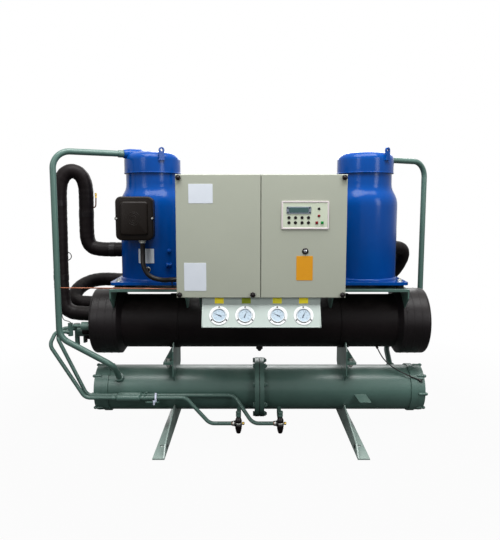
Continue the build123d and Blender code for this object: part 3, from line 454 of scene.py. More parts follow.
def spunPart(profile, segments=32):
    # A profile of (radius, height) points spun about Z
    part = bmesh.new()
    points = [part.verts.new((radius, 0, height)) for radius, height in profile]
    edges = [part.edges.new(pair) for pair in zip(points, points[1:])]
    bmesh.ops.spin(part, geom=points + edges, cent=(0, 0, 0), axis=(0, 0, 1), dvec=(0, 0, 0), angle=2 * pi,
                   steps=segments, use_merge=True, use_duplicate=False)
    bmesh.ops.remove_doubles(part, verts=part.verts, dist=0.001)
    bmesh.ops.recalc_face_normals(part, faces=part.faces)
    return part


def turnedPart(wall, segments=32, dome=0.0):
    # Solid turned part; the dome lifts the middle of its top
    return spunPart([(0, wall[0][1]), *wall, (0, wall[-1][1] + dome)], segments)


def ringPart(section, segments=32):
    # A ring with a closed section
    return spunPart([*section, section[0]], segments)


def barPart(width, depth, height, rounding=0.0, segments=2):
    # Block on Z 0 with its edges rounded
    part = bmesh.new()
    bmesh.ops.create_cube(part, size=1)
    bmesh.ops.scale(part, vec=(width, depth, height), verts=part.verts)
    bmesh.ops.translate(part, vec=(0, 0, height / 2), verts=part.verts)
    if rounding:
        roundEdges(part, list(part.edges), rounding, segments)
    return part


def topEdges(part, height):
    return [edge for edge in part.edges if min(vert.co.z for vert in edge.verts) > height]


def boxPart(width, height, depth, corner, edge, segments=5, turns=None):
    # Block on Z 0 with rounded corners and a soft upper edge
    part = barPart(width, height, depth)
    upright = [one for one in part.edges if abs(one.verts[0].co.z - one.verts[1].co.z) > depth / 2]
    roundEdges(part, upright, corner, turns or segments + 2)
    roundEdges(part, topEdges(part, depth * 0.9), edge, segments)
    return part


def platePart(width, height, thickness, corner):
    # Flat plate on Z 0 with rounded corners and a small edge
    return boxPart(width, height, thickness, corner, min(thickness * 0.4, 0.4), 1, 4)


def framePart(width, height, border, thickness, corner, softness):
    # Raised rim around a rectangle
    part = platePart(width, height, thickness, corner)
    face = max(part.faces, key=lambda one: one.calc_center_median().z * 1e6 + one.calc_area())
    bmesh.ops.inset_individual(part, faces=[face], thickness=border, depth=0)
    bmesh.ops.inset_individual(part, faces=[face], thickness=softness, depth=-thickness * 0.6)
    return part


def flatPart(outline, thickness):
    # A flat outline on Z 0, thickened upwards
    part = bmesh.new()
    part.faces.new([part.verts.new((x, y, 0)) for x, y in outline])
    thicken(part, (0, 0, thickness))
    return part


def hexPart(width, height, chamfer):
    # Hexagon head or nut on Z 0, its top corners taken off
    part = bmesh.new()
    bmesh.ops.create_circle(part, cap_ends=True, radius=width / sqrt(3), segments=6)
    thicken(part, (0, 0, height))
    roundEdges(part, topEdges(part, height * 0.9), chamfer, 2)
    return part


def boltPart(size):
    # Hexagon bolt head on its washer; size is the thread's diameter
    washer, head = size * 0.18, size * 0.62
    tip = [(size * 0.5, 0), (size * 0.5, size * 0.3), (size * 0.42, size * 0.38)]
    return joinParts([
        (turnedPart([(size * 1.05, 0), (size * 1.08, washer / 2), (size, washer)], 24), here),
        (hexPart(size * 1.6, head, size * 0.08), [at(0, 0, washer)]),
        (turnedPart(tip, 16), [at(0, 0, washer + head)])])


def takeMesh(guide):
    # The mesh of a curve that is itself not kept
    mesh = bpy.data.meshes.new_from_object(guide)
    curve = guide.data
    bpy.data.objects.remove(guide)
    bpy.data.curves.remove(curve)
    return mesh


def sampleRoute(route, resolution=16):
    # Points along the smooth line through a route's control points, in millimetres
    mesh = takeMesh(smoothCurve("guide", metres(route), 0, resolution))
    points = [vert.co / mm for vert in mesh.vertices]
    bpy.data.meshes.remove(mesh)
    return points


def evenly(points, step):
    # The same line, with points a fixed distance apart
    result, carried = [points[0]], 0.0
    for start, end in zip(points, points[1:]):
        run = (end - start).length
        while carried + run >= step:
            start = start.lerp(end, (step - carried) / run)
            result.append(start)
            run = (end - start).length
            carried = 0.0
        carried += run
    return result


def hosePart(points, radii, segments=16):
    # Rings of the given radii along a line, joined into one closed hose
    part = bmesh.new()
    before = []
    ahead = points[1] - points[0]
    turn = ahead.to_track_quat("Z", "Y")
    last = len(points) - 1
    for index, point in enumerate(points):
        after = points[min(index + 1, last)] - points[max(index - 1, 0)]
        turn = ahead.rotation_difference(after) @ turn
        ahead = after
        place = at(*point) @ turn.to_matrix().to_4x4()
        ring = bmesh.ops.create_circle(part, cap_ends=index in (0, last), radius=radii[index % len(radii)],
                                       segments=segments, matrix=place)["verts"]
        edges = list(dict.fromkeys(edge for vert in ring for edge in vert.link_edges))
        if before:
            bmesh.ops.bridge_loops(part, edges=before + edges)
        before = edges
    bmesh.ops.recalc_face_normals(part, faces=part.faces)
    return part


def bandPart(width, height, corner, band, thickness):
    # Flat strap in a rounded loop, its width along Z
    part = boxPart(width, height, band, corner, 0.01, 1)
    flat = [face for face in part.faces if abs(face.normal.z) > 0.7]
    bmesh.ops.delete(part, geom=flat, context="FACES")
    bmesh.ops.remove_doubles(part, verts=part.verts, dist=0.05)
    bmesh.ops.solidify(part, geom=part.faces[:], thickness=thickness)
    bmesh.ops.recalc_face_normals(part, faces=part.faces)
    return part


def wordPart(text, size, thickness):
    # A number as a thin raised shape, centred on the origin
    curve = bpy.data.curves.new("word", "FONT")
    curve.body = text
    curve.size = size
    curve.align_x = "CENTER"
    curve.align_y = "CENTER"
    curve.extrude = thickness / 2
    curve.resolution_u = 2
    mesh = takeMesh(bpy.data.objects.new("word", curve))
    part = bmesh.new()
    part.from_mesh(mesh)
    bpy.data.meshes.remove(mesh)
    return part


# Pressure gauges: white flange and bezel, blue dial, set in the sloping part of their panel

gaugeLook = {
    "places": (-187, -71, 73, 189), "front": -391.2, "height": 632, "slope": 62.24,
    "flange": 44.3, "bezel": 32.2, "dial": 28.4, "rise": 8.8, "dialDepth": 4.6,
    "tips": (66, -22, 64, -24),      # degrees from upright, to the left, of each pointer's tip
    "screws": (90, 213, 327), "screwRing": 38.6, "sweep": 270, "marks": 30,
    "numbers": ("0", "5", "10", "15", "20", "25", "30"), "numberSize": 5.2, "numberRing": 17.8, "stem": 30,
}


def onCircle(radius, degrees, height):
    return at(radius * cos(radians(degrees)), radius * sin(radians(degrees)), height)


def makeGauges():
    look = gaugeLook
    places = [at(x, look["front"], look["height"]) @ turned(look["slope"], "X") for x in look["places"]]
    flange, bezel, dial, rise = look["flange"], look["bezel"], look["dial"], look["rise"]
    level = rise - look["dialDepth"]
    rim = [(bezel + 1.6, 0), (flange, 0), (flange, 1.7), (flange - 1.1, 2.8), (bezel + 2.6, 3.1),
           (bezel + 1.6, 2.5)]
    lip = [(dial, rise - 4.2), (dial + 0.7, rise - 0.9), (dial + 1.7, rise), (bezel - 1.0, rise - 0.5),
           (bezel, rise - 1.9), (bezel, 0.4), (dial, 0.4)]
    makePiece("gaugeRims", "whiteEnamel",
              [(ringPart(rim, 72), places), (ringPart(lip, 72), places)], "pressure_gauges")
    # the case is real; its grey lip filling the groove between rim and bezel lip is partly painted shade,
    # standing for the dark line there
    case = [(23, -30), (27, -28), (29, -24), (29, 0.3), (bezel + 1.4, 0.3), (bezel + 1.4, 0.9)]
    makePiece("gaugeCasesGrooveShade", "bezelGrey", [(turnedPart(case, 48), places)])
    makePiece("gaugeDials", "dialBlue",
              [(turnedPart([(dial + 0.2, level), (dial + 0.2, level - 0.6)], 64), places)])
    start = 90 + look["sweep"] / 2
    marks = []
    for index in range(look["marks"] + 1):
        long, wide = (4.2, 0.75) if index % 5 == 0 else (2.2, 0.4)
        angle = start - look["sweep"] * index / look["marks"]
        spot = turned(angle, "Z") @ at(dial - 2.6 - long / 2, 0, level)
        marks.append((barPart(long, wide, 0.15), [place @ spot for place in places]))
    for index, number in enumerate(look["numbers"]):
        angle = start - look["sweep"] * index / (len(look["numbers"]) - 1)
        marks.append((wordPart(number, look["numberSize"], 0.12),
                      [place @ onCircle(look["numberRing"], angle, level + 0.08) for place in places]))
    makePiece("dialMarks", "inkAndSlotShade", marks)
    hubs = [place @ turned(tip, "Z") @ at(0, 0, level + 1.1) for place, tip in zip(places, look["tips"])]
    makePiece("gaugePointers", "inkAndSlotShade", [
        (flatPart([(-1.5, -8), (1.5, -8), (1.0, 0), (0.35, 22.5), (-0.35, 22.5), (-1.0, 0)], 0.5), hubs),
        (turnedPart([(2.6, -0.9), (2.6, 0.9), (1.9, 1.5)], 24, 0.2), hubs),
        (turnedPart([(2.9, 0), (2.9, 0.6)], 20), [hub @ at(0, -9, 0) for hub in hubs])])
    makePiece("gaugeScrews", "keyBlack", [
        (turnedPart([(3.8, 0), (3.8, 0.8), (2.8, 1.7)], 20, 0.3),
         [place @ onCircle(look["screwRing"], angle, 2.6) for angle in look["screws"] for place in places])])
    back = [place @ turned(180, "X") @ at(0, 0, look["stem"]) for place in places]
    makePiece("gaugeStems", "turnedBrass", [
        (hexPart(17, 9, 1.0), back), (turnedPart([(5.5, 8), (5.5, 20), (4, 21.5)], 20), back)])


makeGauges()
print("gauges made")


# Display with its window, keys and lamps on the right-hand cover

displayLook = {
    "middle": (192, 1077), "size": (208, 122), "front": -385, "rim": 5, "corner": 5,
    "window": (163.5, 1098.5), "bezel": (107, 31), "glass": (84, 22),
    "keys": ([121, 149.5, 178, 206], [1044, 1066]), "keyDiameter": 14,
    "lamps": [(251.6, 1105, "round", "keyBlack"), (251.6, 1074, "round", "lampDark"),
              (242.5, 1044, "square", "lampDark"), (266, 1044, "square", "lampGreen")],
    "strip": (256.5, 1077), "stripSize": (37, 104),
    "out": {"strip": 2.5, "bezel": 2.4, "glass": 4.4, "keys": 2.4, "lamps": 2.6},    # from the cover
}


def makeDisplay():
    look = displayLook

    def standing(place, distance):
        # A place on the display, some way out of the cover
        return [facingFront(place[0], look["front"] - distance, place[1])]

    (width, height), out = look["size"], look["out"]
    makePiece("displayPlate", "displayPlastic", [
        (platePart(width - 2, height - 2, 2.6, look["corner"]), standing(look["middle"], 0)),
        (platePart(*look["stripSize"], 0.5, 1), standing(look["strip"], out["strip"]))], "display_panel")
    rim = framePart(width, height, look["rim"], 4.4, look["corner"], 2.0)
    inside = [face for face in rim.faces if face.calc_area() > (width - 30) * (height - 30)
              and face.calc_center_median().z > 0.5]
    bmesh.ops.delete(rim, geom=inside, context="FACES")
    makePiece("displayRim", "rimRose", [(rim, standing(look["middle"], 0))])
    border = (look["bezel"][0] - look["glass"][0]) / 2 - 3
    makePiece("windowBezel", "bezelGrey",
              [(framePart(*look["bezel"], border, 3.0, 2.5, 1.0), standing(look["window"], out["bezel"]))])
    makePiece("windowGlass", "screenGreen",
              [(platePart(*look["glass"], 1.4, 1.2), standing(look["window"], out["glass"]))])
    radius = look["keyDiameter"] / 2
    key = turnedPart([(radius, 0), (radius, 1.6), (radius - 0.9, 2.4), (radius - 2.2, 2.5)], 28, -0.3)
    columns, rows = look["keys"]
    makePiece("displayKeys", "keyBlack",
              [(key, [facingFront(x, look["front"] - out["keys"], z) for x in columns for z in rows])])
    for number, (x, z, shape, finish) in enumerate(look["lamps"]):
        lamp = barPart(12, 12, 3.2, 1.2) if shape == "square" \
            else turnedPart([(6.2, 0), (6.2, 1.5), (5.2, 2.6), (3.4, 3.4)], 28, 0.4)
        makePiece(f"displayLamp{number + 1}", finish,
                  [(lamp, standing((x, z), out["lamps"]))])


makeDisplay()
print("display made")


# Knobs at the covers' corners, and the lock

knobLook = {
    "places": [(-361, 1239), (361, 1239), (-361, 725), (361, 725), (-37, 725)], "front": -385,
    "diameter": 26, "length": 14, "neck": 4, "grips": 7, "gripDepth": 0.14, "rounding": 1.5,
    "lock": (194, 919), "lockDiameter": 28, "slot": (1.6, 8.5), "slotTurn": 28.648,
}


def makeKnobs():
    look = knobLook
    front, length, neck, radius = look["front"], look["length"], look["neck"], look["diameter"] / 2
    head = bmesh.new()
    ring = bmesh.ops.create_circle(head, cap_ends=True, radius=radius, segments=2 * look["grips"])["verts"]
    for vert in ring[1::2]:
        vert.co *= 1 - look["gripDepth"]
    thicken(head, (0, 0, length - neck - 2))
    roundEdges(head, head.edges[:], look["rounding"], 3)
    foot = [(radius * 0.72, 0), (radius * 0.72, 1.4), (radius * 0.55, 2.6), (radius * 0.5, 5)]
    knob = joinParts([(turnedPart(foot, 24), here), (head, [at(0, 0, neck)]),
                      (turnedPart([(6.5, 0), (5.6, 1.2), (3.4, 1.9)], 20, 0.2), [at(0, 0, length - 2.2)])])
    place = facingFront(look["lock"][0], front, look["lock"][1])
    r = look["lockDiameter"] / 2
    lock = [(r * 0.5, 0), (r, 0), (r, 2.2), (r - 1.4, 4.6), (r - 3.2, 5.4), (r * 0.56, 5.0), (r * 0.5, 3.4)]
    makePiece("coverKnobs", "keyBlack", [
        (knob, [facingFront(x, front, z) for x, z in look["places"]]), (ringPart(lock, 40), [place])],
        "cover_knobs")
    makePiece("lockCore", "brightSteel",
              [(turnedPart([(r * 0.5, 0), (r * 0.5, 3.8), (r * 0.44, 4.4)]), [place])])
    # the key slot is a thin dark bar raised on the core, not a cut: painted shade standing for the slot's
    # opening
    slot = place @ at(0, 0, 4.3) @ turned(look["slotTurn"], "Z")
    makePiece("lockSlotShade", "inkAndSlotShade", [(barPart(*look["slot"], 0.3, 0.1, 1), [slot])])


makeKnobs()
print("knobs and lock made")


# Blank plates on the covers and above the gauges

plateLook = {
    "plates": {"whitePlates": ("plateWhite", [(-265, 1170, 106, 84), (-292, 804.5, 98, 125)]),
               "amberPlate": ("plateAmber", [(191.5, 843.5, 73, 109)])},
    "front": -385, "thickness": 0.7, "tagFront": -367, "tagHeight": 695.5, "tagSize": (41, 27),
    "tags": [(-187, "tagYellow"), (-66, "tagOlive"), (73, "tagLime"), (191, "tagYellow")],
}


def makePlates():
    look = plateLook
    for name, (finish, plates) in look["plates"].items():
        makePiece(name, finish,
                  [(platePart(width, height, look["thickness"], 3), [facingFront(x, look["front"], z)])
                   for x, z, width, height in plates])
    for number, (x, finish) in enumerate(look["tags"]):
        makePiece(f"gaugeTag{number + 1}", finish,
                  [(platePart(*look["tagSize"], look["thickness"], 1.5),
                    [facingFront(x, look["tagFront"], look["tagHeight"])])])


makePlates()
print("blank plates made")


# Terminal boxes on the compressors, their glands and cable hoses

axisPlace = {"left": (-537, 0), "right": (529, 0)}
compressorPlace = {side: at(*place, 0) @ turned(180 if side == "right" else 0, "Z")
                   for side, place in axisPlace.items()}
terminalLook = {
    "middle": (-51.5, 1058.5), "size": (177, 205), "back": -111, "base": 92, "lid": 26, "front": 9,
    "corner": 27, "border": 24, "screw": 84, "rings": (11, 20, 29), "gland": (-20, -200, 956),
}
hoseLook = {
    "diameter": 23, "tie": (-413, -254, 772), "tieTurn": 20.0535,
    "exits": [(-375, -258, 776, "Y"), (330, -215, 776, "X")],
    "left": [(-557, -200, 942), (-557, -200, 890), (-555, -215, 835), (-527, -224, 785), (-461, -232, 768),
             (-415, -258, 776), (-375, -258, 776)],
    "right": [(549, 200, 942), (549, 200, 885), (542, 222, 828), (503, 230, 782), (410, 215, 773),
              (345, 130, 773), (330, -100, 776), (330, -215, 776)],
}


def glandParts(places, sleeve):
    # A gland's nut, with its sleeve's wall
    return [(hexPart(34, 6, 1.2), places), (turnedPart(sleeve), places)]


def makeTerminalBoxes():
    look = terminalLook
    width, height = look["size"]
    depth, border, x, z = look["lid"], 2 * look["border"], *look["middle"]
    for side, place in compressorPlace.items():
        face = place @ facingFront(x, look["back"], z)
        lid = face @ at(0, 0, look["base"])
        panel = lid @ at(0, 0, depth - 0.5)
        ends = [lid @ at(sign * look["screw"], 0, 0) for sign in (-1, 1)]
        rings = [(ringPart([(r, 0), (r, 0.5), (r + 0.5, 0.9), (r + 1.4, 0.5), (r + 1.4, 0)], 48),
                  [panel @ at(0, 0, look["front"] + 0.2)]) for r in look["rings"]]
        makePiece(f"terminalBox_{side}", "blackPlastic", [
            (boxPart(width - 7, height - 7, look["base"], look["corner"] - 4, 1.0), [face]),
            (boxPart(width, height, depth, look["corner"], 8), [lid]),
            (boxPart(width - border, height - border, look["front"] + 0.4, 15, 8, 4), [panel]), *rings,
            (turnedPart([(8.5, 0), (8.5, depth - 2.5), (7, depth - 1)], 24), ends)], f"terminal_box_{side}")
        gland = place @ at(*look["gland"]) @ turned(180, "X")
        screw = turnedPart([(5.2, 0), (5.2, 1.6), (4, 3.4), (1.6, 3.8), (1.2, 3.1)], 24)
        makePiece(f"terminalScrews_{side}", "zincPlate", [
            (screw, [end @ at(0, 0, depth - 1.1) for end in ends]),
            *glandParts([gland], [(14.5, 5.5), (15.5, 6.5), (15.5, 12.5), (13.2, 14.5)])])


def makeHoses():
    look = hoseLook
    for side in ("left", "right"):
        makeCurve(f"cableHose_{side}", look[side], look["diameter"], "hoseSheath", 14, 8,
                  f"motor_conduit_{side}")
    x, y, z = look["tie"]
    makePiece("hoseTie", "hoseSheath", [
        (ringPart([(11.4, -2.2), (12.8, -2.2), (12.8, 2.2), (11.4, 2.2)], 40),
         [at(x, y, z) @ turned(90, "Y") @ turned(look["tieTurn"], "X")]),
        (barPart(6, 7, 8, 1), [at(x, y - 2, z - 19)]),
        (barPart(3, 1.2, 24, 0.3), [at(x + 1, y - 3, z - 34)])])
    exits = [at(*place) @ turned(-90, axis) for *place, axis in look["exits"]]
    makePiece("hoseGlands", "blackPlastic",
              glandParts(exits, [(14.5, 5.5), (15.5, 6.5), (15.5, 13.5), (13, 15.5)]))


makeTerminalBoxes()
makeHoses()
print("terminal boxes and hoses made")


# Small things on the compressors: bolts, blank plate, sight glass and service fittings

compressorLook = {
    "radius": 162, "boltReach": 150, "boltBase": 752, "boltSize": 13, "plate": (-12, 877.5, 76, 70),
    "plateThickness": 0.8, "sightGlass": (-4.5, 812, 13), "plug": (94, 899, 11), "tee": (90, 831, 10),
    "teeArm": 15,
}


def onBody(x, z, out=0.0):
    # On the left compressor's wall, Z of the part pointing straight out; x is measured from its axis
    radius = compressorLook["radius"]
    angle = atan2(-sqrt(radius ** 2 - x ** 2), x)
    reach = radius + out
    return compressorPlace["left"] @ facingAlong((reach * cos(angle), reach * sin(angle), z),
                                                 (cos(angle), sin(angle), 0))


def curvedPlate(x, z, width, height, thickness):
    # A thin plate that follows the body's wall
    radius = compressorLook["radius"]
    part = boxPart(width, thickness, height, 0.2, 0.2, 1)
    cut = [edge for edge in part.edges if abs(edge.verts[0].co.x - edge.verts[1].co.x) > width * 0.8]
    bmesh.ops.subdivide_edges(part, edges=cut, cuts=14, use_grid_fill=True)
    start = atan2(-sqrt(radius ** 2 - x ** 2), x)
    for vert in part.verts:
        angle = start + vert.co.x / radius
        reach = radius + thickness / 2 - vert.co.y
        vert.co = (reach * cos(angle), reach * sin(angle), vert.co.z + z - height / 2)
    bmesh.ops.recalc_face_normals(part, faces=part.faces)
    return part


def makeCompressorDetails():
    look = compressorLook
    reach = look["boltReach"]
    for side, place in compressorPlace.items():
        corners = [place @ at(x, y, look["boltBase"]) for x in (-reach, reach) for y in (-reach, reach)]
        makePiece(f"baseBolts_{side}", "zincPlate", [(boltPart(look["boltSize"]), corners)])
    makePiece("compressorPlate", "plateWhite",
              [(curvedPlate(*look["plate"], look["plateThickness"]), [compressorPlace["left"]])])
    x, z, r = look["sightGlass"]
    glass = [onBody(x, z, -1.5)]
    ring = [(r - 3, 0), (r + 1, 0), (r + 1, 2), (r, 4), (r - 2, 4.6), (r - 3, 3.6)]
    makePiece("sightGlassRing", "zincPlate", [(ringPart(ring, 40), glass)])
    makePiece("sightGlassLens", "keyBlack",
              [(turnedPart([(r - 2.6, 0), (r - 2.6, 2), (r * 0.5, 3.4)], 32, 0.5), glass)])
    x, z, r = look["plug"]
    plug = [(hexPart(1.9 * r, 6, 0.8), [onBody(x, z, -1)]),
            (turnedPart([(r * 0.8, 0), (r * 0.8, 5), (r * 0.5, 7)], 24, 0.6), [onBody(x, z, 3.5)])]
    x, z, r = look["tee"]
    arm = look["teeArm"]
    across = onBody(x, z) @ at(0, 0, 6) @ turned(90, "Y")
    makePiece("serviceFittings", "blueEnamel", plug + [
        (turnedPart([(r, -1), (r, 10), (r * 0.7, 11.5)], 24, 0.5), [onBody(x, z)]),
        (spunPart([(0, -arm - 1), (r * 0.8, -arm), (r * 0.8, arm), (0, arm + 1)], 24), [across]),
        (hexPart(2 * r, 5, 0.6), [across @ at(0, 0, 9), across @ at(0, 0, -14)])])


makeCompressorDetails()
print("compressor details made")


# Shut-off valves under the condenser

valveLook = {
    "places": [(-105, -205, 57), (100, -205, 57)], "arm": 34, "cap": 30, "back": 22, "low": -50, "high": 36,
}


def makeValves():
    look = valveLook
    places = [at(*place) for place in look["places"]]
    toPipe, toCap, toBack = [[place @ turned(angle, axis) for place in places]
                             for angle, axis in ((-90, "Y"), (90, "Y"), (-90, "X"))]
    low, high, back, cap, arm = (look[name] for name in ("low", "high", "back", "cap", "arm"))
    upper = [(14.5, 4), (16, 7), (16.6, 14), (15.4, 20), (12.4, 27), (10.4, 31), (10.4, high - 2),
             (8.6, high)]
    lower = [(15.5, -5), (17, -8), (17, -17), (16, -19), (15.8, -28), (14, -31), (13.4, -38), (11.6, -42),
             (10.4, low + 3), (7.6, low + 0.4)]
    makePiece("valveBodies", "keyBlack", [
        (turnedPart(upper), places), (turnedPart(lower, 32, -0.4), places),
        (hexPart(25, 9, 1.0), [place @ at(0, 0, 12) for place in toPipe])], "shutoff_valves")
    makePiece("valveCrosses", "zincPlate", [
        (turnedPart([(14.8, -5.5), (15.8, -4), (15.8, 3), (14.4, 5)], 36), places),
        (turnedPart([(9, 0), (9, 12)], 24), toPipe),
        (turnedPart([(12.2, 20.5), (12.8, 21.5), (12.8, 28), (11.4, 30)], 28), toPipe),
        (turnedPart([(5.6, 0), (5.6, 19)], 24), toCap),
        (turnedPart([(12.5, 0), (13, 2), (13, back - 1.5), (11.8, back)], 28), toBack)])
    makePiece("valveCaps", "turnedBrass", [
        (turnedPart([(6.4, 17.5), (7.4, 18.5), (7.4, cap - 3), (5.8, cap - 0.6)], 28, 0.6), toCap)])
    makePiece("valveSolder", "drawnCopper", [
        (turnedPart([(11, 28.5), (11.4, 30), (11.4, arm - 0.8), (10.4, arm)], 28), toPipe)])
    collar = [(11.6, -1), (12.6, 1), (12.6, 9), (11.6, 11), (11.6, 14), (12.8, 16), (12.8, 24), (11.4, 26)]
    makePiece("valveCollars", "greenEnamel",
              [(turnedPart([(radius, high + rise) for radius, rise in collar]), places)])


makeValves()
print("valves made")


# Gauge panel's upper strip and hems

panelLook = {
    "middle": 1, "halfWidth": 265, "front": -367, "stripLow": 678, "stripHigh": 711, "hem": 6, "hemRise": 0.9,
    "slope": 107.35,
}


def makePanelTrim():
    look = panelLook
    middle, front, half, hem = look["middle"], look["front"], look["halfWidth"], look["hem"]
    low, high, down, rise = look["stripLow"], look["stripHigh"], look["slope"], look["hemRise"]
    strip = barPart(2 * half - 0.4, high - low - 0.4, 0.6, 0.15, 1)
    place = facingFront(middle, front, (high + low) / 2)
    makePiece("panelStrip", "platePaint", [(strip, [place])])
    slope = at(middle, front, low) @ turned(gaugeLook["slope"], "X")
    aside = half - hem / 2 - 0.3
    makePiece("panelHems", "platePaint", [
        (barPart(hem, down - 2, rise, 0.3), [slope @ at(sign * aside, -down / 2, -0.1) for sign in (-1, 1)]),
        (barPart(2 * half - 1, hem, rise, 0.3), [slope @ at(0, hem / 2 + 0.6 - down, -0.1)])])


makePanelTrim()
print("panel trim made")


# Tie round the liquid lines, access valve and wire on the suction sleeve, grommets in the feet

sundryLook = {
    "tie": (-517, -156.5, 169.5), "tieLoop": (62, 38), "tieCorner": 14, "tieWidth": 9, "tieTurn": 8.0214,
    "access": [(-850, -4, 1107), (-836, -4, 1108), (-827, -4, 1116), (-826, -4, 1135),
               (-825, -4, 1160)],
    "accessDiameter": 6.4, "accessCap": (-825, -4, 1158),
    "wire": [(-972, -50, 886), (-960, -52, 888), (-947, -54, 880), (-942, -55, 866),
             (-948, -56, 852), (-961, -57, 846), (-972, -58, 842)],
    "wireDiameter": 4.5, "grommet": (431, 400, 28), "webThickness": 6,
}


def makeSundries():
    look = sundryLook
    x, y, z = look["tie"]
    width = look["tieWidth"]
    loop = at(x, y, z) @ turned(90, "Y") @ turned(90, "Z") @ turned(look["tieTurn"], "Y")
    makePiece("pipeTie", "tieWhite", [
        (bandPart(*look["tieLoop"], look["tieCorner"], width, 1.4), [loop @ at(0, 0, -width / 2)]),
        (barPart(12, 6, 10, 1), [at(x - 3, y - 31, z - 14)]),
        (barPart(8, 1.6, 16, 0.5), [at(x - 4, y - 32, z - 26)])])
    makeCurve("accessTube", look["access"], look["accessDiameter"], "drawnCopper", 10, 5)
    cap = [at(*look["accessCap"])]
    makePiece("accessCap", "turnedBrass", [
        (hexPart(9, 8, 0.8), cap),
        (turnedPart([(3.6, 7), (3.6, 10), (5.2, 10.5), (5.2, 22), (4, 24)], 24, 0.5), cap)])
    makeCurve("sleeveWire", look["wire"], look["wireDiameter"], "wireSheath")
    x, y, z = look["grommet"]
    half = look["webThickness"] / 2
    rim = [(0, half + 3.4), (5, half + 3.2), (9.5, half + 2.4), (10.5, half), (6.6, half)]
    grommet = spunPart(rim + [(radius, -height) for radius, height in reversed(rim)], 24)
    makePiece("footGrommets", "blackRubber",
              [(grommet, [at(sx * x, sy * y, z) @ turned(90, "Y") for sx in (-1, 1) for sy in (-1, 1)])])


makeSundries()
print("sundries made")


# Compressor housings and caps with their lifting lugs, and the sleeves where the risers end

housingLook = {
    "body": [(167, 752), (167, 760), (165.5, 762.5), (162, 764), (162, 1116), (161, 1134), (157.6, 1152),
             (151.5, 1168), (143.8, 1182), (137.2, 1195), (133.2, 1209), (131.5, 1226), (131.5, 1275)],
    "cap": 139, "capBase": 1275, "corner": 36, "cornerHeight": 1340, "top": 1388, "bead": (1275.5, 1281),
    "lug": (27, 9, 1334, 1396), "lugHole": 13, "lugAngles": {"left": (-62.6, 117.4), "right": (-55, 105)},
    "port": 43, "portReach": 147, "portHeights": {"left": 1368.5, "right": 1352},
    "risers": {"left": (-957, -232), "right": (895, 216)}, "hood": (-588, -6, 1352), "hoodSize": (78, 84, 42),
}


def capProfile():
    look = housingLook
    radius, corner, base, top = look["cap"], look["corner"], look["cornerHeight"], look["top"]
    reach, rise = radius - corner, top - base
    crown = (reach ** 2 + rise ** 2 - corner ** 2) / (2 * (rise - corner))
    slope = atan2(base - top + crown, reach)
    low, high = look["bead"]
    line = [(radius, look["capBase"]), (radius + 1.6, low + 1), (radius + 1.6, high - 1), (radius, high)]
    turns = [slope * step / 7 for step in range(8)]
    line += [(reach + corner * cos(turn), base + corner * sin(turn)) for turn in turns]
    turns = [slope + (pi / 2 - slope) * step / 6 for step in range(1, 6)]
    line += [(crown * cos(turn), top - crown + crown * sin(turn)) for turn in turns]
    return [(0, look["capBase"]), *line, (0, top)]


def lugPart():
    # Upright eye plate standing on Z 0 of the cap's wall, its outer face toward X
    width, thickness, low, high = housingLook["lug"]
    half, hole = width / 2, housingLook["lugHole"] / 2
    eye = high - half - low
    outer = [(-half - 1.5, 0), (half + 1.5, 0), (half - 1, 14)]
    outer += [(half * cos(pi * step / 14), eye + half * sin(pi * step / 14)) for step in range(15)]
    outer += [(1 - half, 14)]
    inner = [(hole * cos(2 * pi * step / 20), eye + hole * sin(2 * pi * step / 20)) for step in range(20)]
    part = bmesh.new()
    for line in (outer, inner):
        verts = [part.verts.new((0, y, z)) for y, z in line]
        for index, vert in enumerate(verts):
            part.edges.new((vert, verts[index - 1]))
    bmesh.ops.triangle_fill(part, edges=part.edges[:], use_beauty=True)
    thicken(part, (thickness, 0, 0))
    return part


def hoodPart():
    # Low dome over the place where the left port leaves its cap
    arc = [(cos(radians(turn)), sin(radians(turn))) for turn in range(-80, 90, 10)]
    part = spunPart([(0, -1), *arc, (0, 1)], 40)
    bmesh.ops.scale(part, vec=housingLook["hoodSize"], verts=part.verts)
    return part


def makeHousings():
    look = housingLook
    radius, reach = look["port"] / 2, look["portReach"]
    for side, (x, y) in axisPlace.items():
        axis = at(x, y, 0)
        makePiece(f"compressorBody_{side}", "blueEnamel",
                  [(turnedPart(look["body"], 96), [axis])], f"compressor_body_{side}")
        riserX, riserY = look["risers"][side]
        port = facingAlong((x, y, look["portHeights"][side]), (riserX - x, riserY - y, 0))
        tube = [(radius + 5, 60), (radius + 4, 118), (radius, reach - 6), (radius - 1.5, reach), (15, reach)]
        lugs = [axis @ at(0, 0, look["lug"][2]) @ turned(angle, "Z") @ at(look["cap"] - 1, 0, 0)
                for angle in look["lugAngles"][side]]
        parts = [(spunPart(capProfile(), 96), [axis]), (lugPart(), lugs), (turnedPart(tube, 40), [port])]
        if side == "left":
            parts.append((hoodPart(), [at(*look["hood"])]))
        makePiece(f"compressorCap_{side}", "blueEnamel", parts, f"compressor_cap_{side}")
        sleeve = [(17, reach), (17.6, reach + 1), (17.6, reach + 24), (16, reach + 27)]
        makePiece(f"riserSleeve_{side}", "greenEnamel", [(turnedPart(sleeve, 36), [port])])


makeHousings()
print("housings made")


# Insulated suction pipes with their tape bands, and the wraps and seams of the upper vessel

